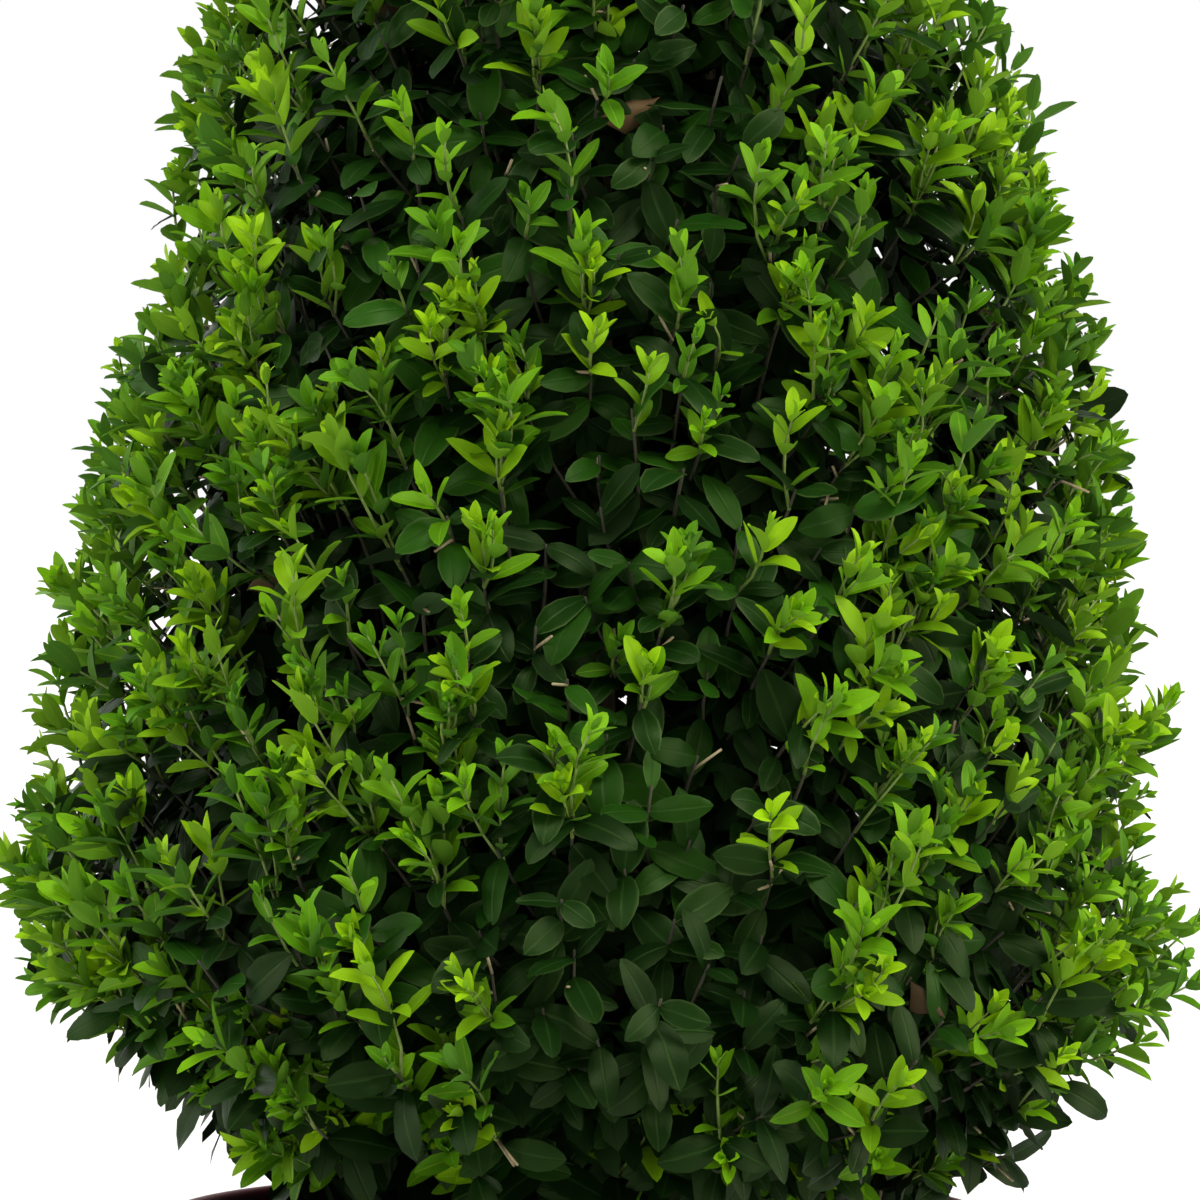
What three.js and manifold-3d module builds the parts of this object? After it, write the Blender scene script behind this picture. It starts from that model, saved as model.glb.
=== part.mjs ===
// A box cone: a boxwood (Buxus sempervirens) clipped to a tall cone, standing in a round nursery pot.
// A short stem forks just above the compost into a leader and two rings of boughs. Each bough carries one
// mass of foliage, and the masses share one clipped outline.
// Units are millimetres, +Z is up, and the origin is the middle of the pot's flat underside.

import * as THREE from "three";
import { mergeVertices } from "three/addons/utils/BufferGeometryUtils.js";
import Module from "manifold-3d";

const wasm = await Module();
wasm.setup();

// ---- driving dimensions ----

const seat = 0.3; // clearance where two pieces meet
const easySeat = 0.4; // the same between facets that may not quite line up

const pot = {
  height: 245,
  rimRadius: 150, // outside of the rolled edge
  collarRadius: 145, // at the collar's foot
  wallRadius: 140, // outside of the wall, just under the collar
  footRadius: 108,
  collarHeight: 30,
  wall: 2.8,
  floor: 4,
  footBevel: 2.5,
  roll: 3, // radius of the rolled edge
  rollSteps: 6,
  sides: 36,
};

const drains = { count: 6, radius: 7, circle: 66, sides: 10 };

// The compost's surface is flat round the stem and falls away to the wall, first gently.
const compost = { top: 223, flat: 28, mound: 5, shoulder: 98, shoulderDrop: 2 };

const crown = {
  axisX: 7, // the clipped cone stands a little to one side of the pot's middle
  foot: 246, // height of the lowest foliage, at the pot's rim
  height: 850, // from the foot to the tip
  belly: 100, // height of the widest ring above the foot
  radius: 212, // at the belly
  footRadius: 70, // where the underside closes in around the wood
  taper: 1.45, // exponent of the convex flank
  tuck: 0.6, // exponent of the rounded underside
};

// The leafless heart of the crown follows the clipped outline this far inside it.
const core = { inset: 26, sides: 24, rows: 11, slimmest: 5, gap: 2.2 };

// The crown is shared out in tiers. The border under a tier is a cone that rises outwards, as the shoots do,
// and border is the height above the crown's foot at which it meets the clipped outline. channel is the
// radius of the bare space that the wood runs up through. Each mass has its foot at the given spread and
// height above the crown's foot, where its bough arrives with the given lean, having left the stem with
// another. fork is the place on the stem, as a share of its length.
const borderRise = 0.85;
const tiers = [
  {
    name: "lower", masses: 6, turn: 0, border: -400, channel: 76,
    spread: 69, height: 66, arriving: 1.2, leaving: 1.3, fork: 0.24,
  },
  {
    name: "upper", masses: 5, turn: 0.35, border: 300, channel: 34,
    spread: 30, height: 164, arriving: 0.4, leaving: 0.9, fork: 0.56,
  },
  { name: "top", masses: 1, turn: 0, border: 590, channel: 0, spread: 0, height: 486, arriving: 0 },
];

// bends are the heights of a curve's two inner control points, as shares of its rise, and swing is how far
// they lie from its ends, as a share of its span. stagger sets every second fork a little higher.
const stem = {
  top: 336,
  base: 14,
  fork: 10.5,
  flare: 9, // how much wider the root flare is where it meets the compost
  flareHeight: 15,
  bends: [0.4, 0.6],
  sides: 12,
  steps: 9,
};
const bough = { root: 5.2, tip: 3.6, swing: 0.36, stagger: 0.13, sides: 6, steps: 6 };
const leader = { root: 7.6, tip: 4.2, sway: 2.5, bends: [0.3, 0.6], sides: 6, steps: 7 };
const spur = { tip: 2.6, length: 40 }; // a mass's own stem, which starts as thick as its bough ends

const shoots = {
  seed: 20,
  count: 108,
  root: 2.6, // twig radius
  tip: 1.5,
  sunk: 8, // how far the root goes into the core
  rise: 30, // how far up the outline a shoot aims from the place it stands at
  wander: 9, // how far it may aim astray
  end: 0.4, // where the twig ends, as a share of the way from the core to the outline
  pairs: [0.3, 0.72], // places of the leaf pairs, as shares of the twig outside the core
  last: 0.92, // the same for the single leaf at its tip
};

const leaf = {
  longest: 56,
  shortest: 16,
  width: 0.58, // of the length
  thickness: 0.07, // of the length, at the middle
  splay: 1.0, // angle off the twig, radians
  unevenness: 0.25, // how far that angle may vary
  ruffle: 0.4, // how far a blade may roll about its midrib, radians
  margin: 2, // clearance to the borders of its mass
  tries: 3,
};

const rimClearance = { height: 3, reach: 14 }; // foliage stays this far above and around the pot's rim
const goldenAngle = Math.PI * (3 - Math.sqrt(5));

// ---- materials ----

const materials = {
  pot: new THREE.MeshStandardMaterial({ color: 0x70343c, roughness: 0.55, metalness: 0 }),
  compost: new THREE.MeshStandardMaterial({ color: 0x2e221a, roughness: 1, metalness: 0 }),
  bark: new THREE.MeshStandardMaterial({ color: 0x6d6048, roughness: 0.9, metalness: 0 }),
  foliage: new THREE.MeshStandardMaterial({ color: 0x3f7a1c, roughness: 0.5, metalness: 0 }),
};

// ---- geometry tools ----

function vec(x, y, z) {
  return new THREE.Vector3(x, y, z);
}

function mix(from, to, share) {
  return from + (to - from) * share;
}

// A horizontal direction at an azimuth.
function outward(azimuth) {
  return vec(Math.cos(azimuth), Math.sin(azimuth), 0);
}

// A seeded random number generator (mulberry32), giving values from 0 to 1.
function seededRandom(seed) {
  let state = seed >>> 0;
  return () => {
    state = (state + 0x6d2b79f5) >>> 0;
    let t = state;
    t = Math.imul(t ^ (t >>> 15), t | 1);
    t ^= t + Math.imul(t ^ (t >>> 7), t | 61);
    return ((t ^ (t >>> 14)) >>> 0) / 2 ** 32;
  };
}

// A closed geometry as a manifold solid, its vertices merged by position alone.
function toSolid(geometry) {
  const bare = geometry.clone();
  bare.deleteAttribute("normal");
  bare.deleteAttribute("uv");
  const merged = mergeVertices(bare, 1e-4);
  const vertProperties = merged.attributes.position.array;
  const triVerts = new Uint32Array(merged.index.array);
  return new wasm.Manifold(new wasm.Mesh({ numProp: 3, vertProperties, triVerts }));
}

function toGeometry(solid) {
  const { vertProperties, triVerts } = solid.getMesh();
  const geometry = new THREE.BufferGeometry();
  geometry.setAttribute("position", new THREE.BufferAttribute(vertProperties, 3));
  geometry.setIndex(new THREE.BufferAttribute(triVerts, 1));
  geometry.computeVertexNormals();
  return geometry;
}

function named(name, solid, material) {
  const mesh = new THREE.Mesh(toGeometry(solid), material);
  mesh.name = name;
  return mesh;
}

// A solid of revolution about +Z from [radius, height] pairs that go round counterclockwise.
function turned(profile, sides) {
  const points = profile.map(([radius, height]) => new THREE.Vector2(radius, height));
  return toSolid(new THREE.LatheGeometry(points, sides).rotateX(Math.PI / 2));
}

// A tapered limb: a cylinder bent along a curve. widthAt gives its radius at 0 for the root to 1 for the tip.
function limb(curve, widthAt, sides, steps) {
  const geometry = new THREE.CylinderGeometry(1, 1, 1, sides, steps);
  const frames = curve.computeFrenetFrames(steps);
  const places = geometry.attributes.position;
  for (let i = 0; i < places.count; i++) {
    const t = places.getY(i) + 0.5;
    const ring = Math.round(t * steps);
    const place = curve
      .getPointAt(t)
      .addScaledVector(frames.binormals[ring], places.getX(i) * widthAt(t))
      .addScaledVector(frames.normals[ring], places.getZ(i) * widthAt(t));
    places.setXYZ(i, place.x, place.y, place.z);
  }
  return geometry;
}

function taper(root, tip) {
  return (t) => mix(root, tip, t);
}

// ---- pot and compost ----

const collarFoot = pot.height - pot.collarHeight;

// Outer radius of the wall, or of the collar above it.
function potRadius(height) {
  if (height < collarFoot) return mix(pot.footRadius, pot.wallRadius, height / collarFoot);
  const share = (height - collarFoot) / pot.collarHeight;
  return mix(pot.collarRadius, pot.rimRadius - pot.roll, share);
}

function potSolid() {
  const shoulder = (pot.collarRadius - pot.wallRadius) / 2;
  const lip = pot.height - 2 * pot.roll;
  const outside = [collarFoot - shoulder, collarFoot + shoulder, lip].map((z) => [potRadius(z), z]);
  const inside = outside.map(([radius, z]) => [radius - pot.wall, z]).reverse();
  const rolled = [];
  for (let i = 1; i < pot.rollSteps; i++) {
    const turn = mix(-0.5, 1, i / pot.rollSteps) * Math.PI;
    const radius = pot.rimRadius - pot.roll + pot.roll * Math.cos(turn);
    rolled.push([radius, pot.height - pot.roll + pot.roll * Math.sin(turn)]);
  }
  const solid = turned(
    [
      [0, 0],
      [pot.footRadius - pot.footBevel, 0],
      [potRadius(pot.footBevel), pot.footBevel],
      ...outside,
      ...rolled,
      ...inside,
      [potRadius(pot.floor) - pot.wall, pot.floor],
      [0, pot.floor],
    ],
    pot.sides,
  );
  const drills = [];
  for (let i = 0; i < drains.count; i++) {
    const centre = outward((i / drains.count) * 2 * Math.PI).multiplyScalar(drains.circle);
    const drill = new THREE.CylinderGeometry(drains.radius, drains.radius, 4 * pot.floor, drains.sides);
    drills.push(toSolid(drill.rotateX(Math.PI / 2).translate(centre.x, centre.y, 0)));
  }
  return wasm.Manifold.difference([solid, ...drills]);
}

function compostSolid() {
  const shoulder = (pot.collarRadius - pot.wallRadius) / 2;
  const foot = pot.floor + seat;
  const edge = compost.top - compost.mound;
  const levels = [foot, collarFoot - shoulder, collarFoot + shoulder, edge];
  const side = levels.map((z) => [potRadius(z) - pot.wall - easySeat, z]);
  const mound = [
    [compost.shoulder, compost.top - compost.shoulderDrop],
    [compost.flat, compost.top],
  ];
  return turned([[0, foot], ...side, ...mound, [0, compost.top]], pot.sides);
}

// ---- the clipped outline ----

// Radius of the clipped outline at a height above the crown's foot: a convex flank over a rounded underside.
function crownRadius(height) {
  if (height > crown.height) return 0;
  if (height > crown.belly) {
    const share = (height - crown.belly) / (crown.height - crown.belly);
    return crown.radius * (1 - share ** crown.taper);
  }
  const share = Math.min(1, (crown.belly - height) / crown.belly);
  return mix(crown.footRadius, crown.radius, (1 - share ** 2) ** crown.tuck);
}

// Outward normal of the outline, as its outward and upward parts.
function crownNormal(height) {
  const low = Math.max(0, height - 2);
  const high = Math.min(crown.height, height + 2);
  const slope = (crownRadius(high) - crownRadius(low)) / (high - low);
  const size = Math.hypot(1, slope);
  return { out: 1 / size, up: -slope / size };
}

// A point this far inside the clipped outline, measured along its normal.
function insideCrown(height, azimuth, depth) {
  const { out, up } = crownNormal(height);
  const place = outward(azimuth).multiplyScalar(crownRadius(height) - depth * out);
  return place.add(vec(crown.axisX, 0, crown.foot + height - depth * up));
}

// The same point as a radius about the crown's axis and a height above its foot.
function onCrown(place) {
  return { radius: Math.hypot(place.x - crown.axisX, place.y), height: place.z - crown.foot };
}

// The height above which a point this far inside the outline would lie past the crown's axis.
function highestInside(depth) {
  let height = crown.height;
  while (crownRadius(height) < depth * crownNormal(height).out) height -= 1;
  return height;
}

// Places on the outline spread evenly by area along a golden-angle spiral, from the tip to the foot.
function spiralPlaces(count) {
  const bands = 400;
  const reached = [0];
  for (let i = 1; i <= bands; i++) {
    const low = ((i - 1) / bands) * crown.height;
    const high = (i / bands) * crown.height;
    const slant = Math.hypot(high - low, crownRadius(high) - crownRadius(low));
    reached.push(reached[i - 1] + slant * (crownRadius(low) + crownRadius(high)));
  }
  const places = [];
  let band = 1;
  for (let i = 0; i < count; i++) {
    const wanted = (i / (count - 1)) * reached[bands];
    while (reached[band] < wanted) band++;
    const share = (wanted - reached[band - 1]) / (reached[band] - reached[band - 1]);
    places.push({ height: ((band - 1 + share) / bands) * crown.height, azimuth: i * goldenAngle });
  }
  return places.reverse();
}

// ---- stem, boughs and leader ----

// The stem leaves the compost upright and sways over to the crown's axis.
const stemCurve = new THREE.CubicBezierCurve3(
  vec(0, 0, compost.top + seat),
  vec(0, 0, mix(compost.top, stem.top, stem.bends[0])),
  vec(crown.axisX, 0, mix(compost.top, stem.top, stem.bends[1])),
  vec(crown.axisX, 0, stem.top),
);

// A stem with a root flare that eases into a gentle taper, grown by a clearance where it is used as a cutter.
function stemSolid(grown = 0) {
  const flareShare = stem.flareHeight / (stem.top - compost.top);
  const widthAt = (t) => mix(stem.base, stem.fork, t) + stem.flare * Math.exp(-t / flareShare) + grown;
  return toSolid(limb(stemCurve, widthAt, stem.sides, stem.steps));
}

function leaning(azimuth, lean) {
  return outward(azimuth).multiplyScalar(lean).add(vec(0, 0, 1)).normalize();
}

// A bough leaves the stem, swings out and up, and ends at the foot of its mass.
function boughSolid(mass) {
  const start = stemCurve.getPointAt(mass.tier.fork + bough.stagger * (mass.index % 2));
  const swing = start.distanceTo(mass.foot) * bough.swing;
  const curve = new THREE.CubicBezierCurve3(
    start,
    start.clone().addScaledVector(leaning(mass.azimuth, mass.tier.leaving), swing),
    mass.foot.clone().addScaledVector(mass.heading, -swing),
    mass.foot,
  );
  const solid = toSolid(limb(curve, taper(bough.root, bough.tip), bough.sides, bough.steps));
  return solid.subtract(stemSolid(easySeat));
}

// The leader carries on from the stem up the middle of the crown to the foot of the top mass.
function leaderSolid(top) {
  const foot = stem.top + seat;
  const curve = new THREE.CubicBezierCurve3(
    vec(crown.axisX, 0, foot),
    vec(crown.axisX, 0, mix(foot, top, leader.bends[0])),
    vec(crown.axisX + leader.sway, -leader.sway, mix(foot, top, leader.bends[1])),
    vec(crown.axisX, 0, top),
  );
  return toSolid(limb(curve, taper(leader.root, leader.tip), leader.sides, leader.steps));
}

// ---- masses of foliage ----

// The height of a slanting border on the crown's axis.
function borderOnAxis(border) {
  return border - borderRise * crownRadius(border);
}

function massesOf(tier, above) {
  const masses = [];
  for (let index = 0; index < tier.masses; index++) {
    const azimuth = tier.turn + (index / tier.masses) * 2 * Math.PI;
    masses.push({
      tier,
      index,
      azimuth,
      name: tier.masses > 1 ? `${tier.name}_${index + 1}` : tier.name,
      halfTurn: Math.PI / tier.masses,
      floor: borderOnAxis(tier.border),
      ceiling: above ? borderOnAxis(above.border) : 2 * crown.height,
      foot: outward(azimuth).multiplyScalar(tier.spread).add(vec(crown.axisX, 0, crown.foot + tier.height)),
      heading: leaning(azimuth, tier.arriving),
    });
  }
  return masses;
}

// Whether a place lies in a mass's own space, a margin inside its borders.
function inSpace(mass, place) {
  const { radius, height } = onCrown(place);
  const slant = leaf.margin * Math.hypot(1, borderRise);
  const level = height - borderRise * radius;
  if (level < mass.floor + slant || level > mass.ceiling - slant) return false;
  if (radius < mass.tier.channel) return false;
  if (place.z < pot.height + rimClearance.height && radius < pot.rimRadius + rimClearance.reach) return false;
  if (mass.tier.masses === 1) return true;
  const turn = Math.atan2(place.y, place.x - crown.axisX) - mass.azimuth;
  const off = Math.abs(Math.atan2(Math.sin(turn), Math.cos(turn)));
  return radius * Math.sin(mass.halfTurn - off) > leaf.margin;
}

function staysIn(mass, geometry) {
  const places = geometry.attributes.position;
  for (let i = 0; i < places.count; i++)
    if (!inSpace(mass, vec(places.getX(i), places.getY(i), places.getZ(i)))) return false;
  return true;
}

// The heart of the whole crown: the clipped outline set in by the depth of the leafy shoots.
function heartSolid() {
  const outline = [];
  const top = highestInside(core.inset + core.slimmest);
  for (let i = 0; i <= core.rows; i++) {
    const height = top * (0.5 - 0.5 * Math.cos((Math.PI * i) / core.rows));
    const { radius, height: level } = onCrown(insideCrown(height, 0, core.inset));
    outline.push([radius, level]);
  }
  const foot = [0, outline[0][1]];
  const tip = [0, outline.at(-1)[1] + core.slimmest];
  return turned([foot, ...outline, tip], core.sides);
}

// The ring-shaped space between a tier's borders, outside its channel.
function tierSolid(mass) {
  const near = mass.tier.channel;
  const far = 1.5 * crown.radius;
  const low = mass.floor + core.gap;
  const high = mass.ceiling - core.gap;
  const ring = [
    [near, low + borderRise * near],
    [far, low + borderRise * far],
    [far, high + borderRise * far],
    [near, high + borderRise * near],
  ];
  return turned(near > 0 ? [...ring, ring[0]] : ring, core.sides);
}

// A mass's share of the circle, with its edge near the crown's axis.
function wedgeSolid(mass) {
  const far = 2 * crown.radius;
  const edge = core.gap / Math.sin(mass.halfTurn);
  const shape = new THREE.Shape();
  shape.moveTo(edge, 0);
  shape.lineTo(edge + far * Math.cos(mass.halfTurn), -far * Math.sin(mass.halfTurn));
  shape.lineTo(edge + far * Math.cos(mass.halfTurn), far * Math.sin(mass.halfTurn));
  const wedge = new THREE.ExtrudeGeometry(shape, { depth: 2 * crown.height, bevelEnabled: false });
  return toSolid(wedge.translate(0, 0, -crown.height / 2).rotateZ(mass.azimuth));
}

function coreSolid(mass) {
  let solid = heartSolid().intersect(tierSolid(mass));
  if (mass.tier.masses > 1) solid = solid.intersect(wedgeSolid(mass));
  return solid.translate([crown.axisX, 0, crown.foot]);
}

// The mass's own stem, from its bough's tip into the core.
function spurSolid(mass) {
  const start = mass.foot.clone().addScaledVector(mass.heading, seat);
  const end = mass.foot.clone().addScaledVector(mass.heading, spur.length);
  return toSolid(limb(new THREE.LineCurve3(start, end), taper(bough.tip, spur.tip), bough.sides, 1));
}

// How far a leaf can go from a place along a heading before it leaves the clipped outline.
function reachFrom(place, heading) {
  const step = 2;
  let reach = 0;
  while (reach < leaf.longest) {
    const { radius, height } = onCrown(place.clone().addScaledVector(heading, reach + step));
    if (height < 0 || radius > crownRadius(height)) break;
    reach += step;
  }
  return reach;
}

// A blade is an octahedron drawn out along its midrib, its root on the twig's axis.
function leafGeometry(root, heading, roll) {
  const length = reachFrom(root, heading);
  if (length < leaf.shortest) return null;
  const across = vec(-heading.y, heading.x, 0).normalize();
  const frame = new THREE.Matrix4().makeBasis(heading, across, heading.clone().cross(across));
  const blade = new THREE.OctahedronGeometry(0.5).translate(0.5, 0, 0);
  blade.scale(length, length * leaf.width, length * leaf.thickness).rotateX(roll).applyMatrix4(frame);
  return blade.translate(root.x, root.y, root.z);
}

// One shoot: a three-sided twig that leaves the core and turns up, with two crossed pairs of leaves and one
// leaf at its tip. A leaf that would leave the mass's space or cut another shoot is tried again, then left
// off. others are the solids of the shoots that already stand on the mass.
function shootSolids(mass, place, random, others) {
  const spread = (size) => mix(-size, size, random());
  const depth = core.inset + shoots.sunk;
  const root = insideCrown(Math.min(place.height, highestInside(depth)), place.azimuth, depth);
  const aim = insideCrown(Math.min(crown.height, place.height + shoots.rise), place.azimuth, 0);
  const stray = Math.min(shoots.wander, crownRadius(place.height) / 4);
  aim.add(vec(spread(stray), spread(stray), spread(stray)));
  const heading = aim.clone().sub(root).normalize();
  const along = (share) => root.clone().lerp(aim, mix(shoots.sunk / depth, 1, share));

  const twig = limb(new THREE.LineCurve3(root, along(shoots.end)), taper(shoots.root, shoots.tip), 3, 1);
  const clear = (solid) => others.every((other) => solid.intersect(other).isEmpty());
  const pieces = [toSolid(twig)];
  if (!staysIn(mass, twig) || !clear(pieces[0])) return [];

  const addLeaf = (share, aim) => {
    for (let attempt = 0; attempt < leaf.tries; attempt++) {
      const blade = leafGeometry(along(share), aim().normalize(), spread(leaf.ruffle));
      if (!blade || !staysIn(mass, blade)) continue;
      const solid = toSolid(blade);
      if (!clear(solid)) continue;
      pieces.push(solid);
      return;
    }
  };
  const side = vec(-heading.y, heading.x, 0).normalize();
  const spin = random() * Math.PI;
  shoots.pairs.forEach((share, pair) => {
    for (const hand of [0, 1]) {
      const turn = spin + (pair / 2 + hand) * Math.PI;
      addLeaf(share * shoots.end, () => {
        const angle = leaf.splay + spread(leaf.unevenness);
        const sideways = side.clone().applyAxisAngle(heading, turn).multiplyScalar(Math.sin(angle));
        return heading.clone().multiplyScalar(Math.cos(angle)).add(sideways);
      });
    }
  });
  addLeaf(shoots.end * shoots.last, () => heading.clone());
  return pieces;
}

// Whether a place on the outline is this mass's own, seen half way down its shoots.
function isOwn(mass, place) {
  return inSpace(mass, insideCrown(place.height, place.azimuth, core.inset / 2));
}

function massSolid(mass, places, random) {
  const standing = [];
  for (const place of places.filter((one) => isOwn(mass, one)))
    standing.push(...shootSolids(mass, place, random, standing));
  const bodies = wasm.Manifold.union([coreSolid(mass), spurSolid(mass), ...standing]).decompose();
  bodies.sort((one, other) => other.volume() - one.volume());
  return bodies[0];
}

// ---- the whole plant ----

const topiary = new THREE.Group();
topiary.add(named("pot", potSolid(), materials.pot));
topiary.add(named("compost", compostSolid(), materials.compost));
topiary.add(named("stem", stemSolid(), materials.bark));

const random = seededRandom(shoots.seed);
const places = spiralPlaces(shoots.count);
tiers.forEach((tier, level) => {
  for (const mass of massesOf(tier, tiers[level + 1])) {
    if (tier.fork) topiary.add(named(`bough_${mass.name}`, boughSolid(mass), materials.bark));
    else topiary.add(named("leader", leaderSolid(mass.foot.z), materials.bark));
    topiary.add(named(`foliage_${mass.name}`, massSolid(mass, places, random), materials.foliage));
  }
});

export default topiary;
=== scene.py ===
import math

import bpy
import numpy as np
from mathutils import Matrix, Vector


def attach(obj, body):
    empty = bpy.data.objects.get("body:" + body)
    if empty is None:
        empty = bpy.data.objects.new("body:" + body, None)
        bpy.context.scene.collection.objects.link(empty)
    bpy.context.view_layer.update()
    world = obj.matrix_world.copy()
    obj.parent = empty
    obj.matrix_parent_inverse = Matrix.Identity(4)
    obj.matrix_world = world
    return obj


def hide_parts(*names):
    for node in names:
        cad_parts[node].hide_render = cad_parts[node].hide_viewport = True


# Box cone in its pot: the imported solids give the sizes, and pot, wood and foliage are grown round them here.
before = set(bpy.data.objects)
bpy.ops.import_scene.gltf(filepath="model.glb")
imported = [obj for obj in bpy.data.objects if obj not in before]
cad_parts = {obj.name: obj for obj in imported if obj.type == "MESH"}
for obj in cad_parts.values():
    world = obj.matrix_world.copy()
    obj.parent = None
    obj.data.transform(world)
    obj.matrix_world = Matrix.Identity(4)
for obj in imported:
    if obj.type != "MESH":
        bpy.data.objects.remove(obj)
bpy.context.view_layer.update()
rng = np.random.default_rng(20)
turn = 2 * math.pi
goldenAngle = math.pi * (3 - math.sqrt(5))

# The clipped outline, about its own upright axis. Heights are above the crown's foot.
crown = {
    "axisX": 0.007,
    "foot": 0.246,  # the crown's foot over the floor
    "height": 0.850,
    "belly": 0.100,  # where it is widest
    "radius": 0.212,
    "footRadius": 0.095,
    "taper": 1.45,
    "tuck": 0.60,
    "placeStep": 0.012,  # how far places on it are loosened sideways
}

# The masses of foliage: rings of them, and where each one's bough arrives and its own limb ends.
tiers = [
    {"name": "lower", "masses": 6, "turn": 0.0, "border": -0.4, "spread": 0.069, "height": 0.066,
     "arriving": 1.2, "leaving": 1.3, "fork": 0.24, "limbEnd": (0.118, 0.175)},
    {"name": "upper", "masses": 5, "turn": 0.35, "border": 0.300, "spread": 0.030, "height": 0.164,
     "arriving": 0.4, "leaving": 0.9, "fork": 0.56, "limbEnd": (0.066, 0.430)},
    {"name": "top", "masses": 1, "turn": 0.0, "border": 0.590, "spread": 0.0, "height": 0.486,
     "arriving": 0.0, "limbEnd": (0.0, 0.790)},
]
borderRise = 0.85  # how steeply the borders between the tiers rise away from the axis
upright = np.array([0, 0, 1.0])


# ---- small tools

def unit(vectors):  # v / |v|
    return vectors / np.maximum(np.linalg.norm(vectors, axis=-1, keepdims=True), 1e-9)


def mix(low, high, share):  # low at share 0, high at share 1
    return low + (high - low) * share


def spread(size, *shape):  # even random values from -size to size
    return rng.uniform(-size, size, shape)


def outward(azimuth):  # (cos a, sin a, 0)
    azimuth = np.asarray(azimuth, float)
    return np.stack([np.cos(azimuth), np.sin(azimuth), np.zeros_like(azimuth)], -1)


def bezier(p0, p1, p2, p3, t):
    # (1-t)^3 p0 + 3 (1-t)^2 t p1 + 3 (1-t) t^2 p2 + t^3 p3, for each curve and each t
    t = np.asarray(t)[..., None]
    p0, p1, p2, p3 = (p[..., None, :] for p in (p0, p1, p2, p3))
    return (1 - t) ** 3 * p0 + 3 * (1 - t) ** 2 * t * p1 + 3 * (1 - t) * t ** 2 * p2 + t ** 3 * p3


def evenly(path, count):
    # the path's points moved to equal steps of its length
    steps = np.concatenate([[0], np.cumsum(np.linalg.norm(np.diff(path, axis=0), axis=1))])
    wanted = np.linspace(0, steps[-1], count)
    return np.stack([np.interp(wanted, steps, path[:, i]) for i in range(3)], -1)


def waves(points, size, seed, count=7):
    # a smooth random field: sum of sin(k.p + phase) over random k of length 2 pi / size, about 1 in spread
    field = np.random.default_rng(seed)
    k = unit(field.normal(size=(count, 3))) * turn / size * field.uniform(0.6, 1.5, (count, 1))
    phase = field.uniform(0, turn, count)
    return np.sin(points @ k.T + phase).sum(-1) / math.sqrt(count / 2)


# ---- the clipped outline

def crownRadius(height):
    # above the belly R (1 - s^taper), s its share of the flank; below it r0 + (R - r0)(1 - s^2)^tuck
    flank = np.clip((height - crown["belly"]) / (crown["height"] - crown["belly"]), 0, 1)
    under = np.clip((crown["belly"] - height) / crown["belly"], 0, 1)
    above = crown["radius"] * (1 - flank ** crown["taper"])
    below = mix(crown["footRadius"], crown["radius"], (1 - under ** 2) ** crown["tuck"])
    return np.where(height > crown["belly"], above, below)


def crownNormal(height):
    # (1, -dr/dh) made unit: the outline's outward and upward parts
    low = np.maximum(0, height - 0.002)
    high = np.minimum(crown["height"], height + 0.002)
    slope = (crownRadius(high) - crownRadius(low)) / (high - low)
    size = np.hypot(1, slope)
    return 1 / size, -slope / size


def insideCrown(height, azimuth, depth):
    # outline point minus depth times its normal, kept from passing the axis
    out, up = crownNormal(height)
    radius = np.maximum(0, crownRadius(height) - depth * out)
    place = outward(azimuth) * radius[..., None]
    place[..., 0] += crown["axisX"]
    place[..., 2] = crown["foot"] + height - depth * up
    return place


def onCrown(places):
    # each place's distance from the crown's axis and height above its foot
    radius = np.hypot(places[..., 0] - crown["axisX"], places[..., 1])
    return radius, places[..., 2] - crown["foot"]


def crownPlaces(count):
    # equal shares of the outline's area up a golden-angle spiral, loosened a little
    heights = np.linspace(0, crown["height"], 1200)
    radii = crownRadius(heights)
    bands = np.hypot(np.diff(heights), np.diff(radii)) * (radii[1:] + radii[:-1])
    reached = np.concatenate([[0], np.cumsum(bands)])
    wanted = (np.arange(count) + 0.5 + spread(0.45, count)) / count * reached[-1]
    height = np.interp(np.clip(wanted, 0, reached[-1]), reached, heights)
    loose = crown["placeStep"] / np.maximum(crownRadius(height), 0.02)
    return height, np.arange(count) * goldenAngle + spread(1, count) * loose


def borderOnAxis(border):
    # a border given where it meets the outline, carried in to the axis down its own slope
    return border - borderRise * crownRadius(max(0.0, border))


# ---- mesh makers

def buildMesh(name, points, triangles, uv=None, tone=None):
    # a smooth-shaded object from whole arrays of vertices and triangles
    mesh = bpy.data.meshes.new(name)
    mesh.vertices.add(len(points))
    mesh.vertices.foreach_set("co", np.ascontiguousarray(points, np.float32).ravel())
    mesh.loops.add(triangles.size)
    mesh.loops.foreach_set("vertex_index", np.ascontiguousarray(triangles, np.int32).ravel())
    mesh.polygons.add(len(triangles))
    mesh.polygons.foreach_set("loop_start", np.arange(0, triangles.size, 3, dtype=np.int32))
    mesh.polygons.foreach_set("use_smooth", np.ones(len(triangles), bool))
    if uv is not None:
        layer = mesh.uv_layers.new(name="blade")
        layer.data.foreach_set("uv", np.ascontiguousarray(uv, np.float32).ravel())
    if tone is not None:
        attribute = mesh.attributes.new("tone", "FLOAT", "POINT")
        attribute.data.foreach_set("value", np.ascontiguousarray(tone, np.float32))
    mesh.update()
    mesh.validate()
    piece = bpy.data.objects.new(name, mesh)
    bpy.context.scene.collection.objects.link(piece)
    return piece


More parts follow.
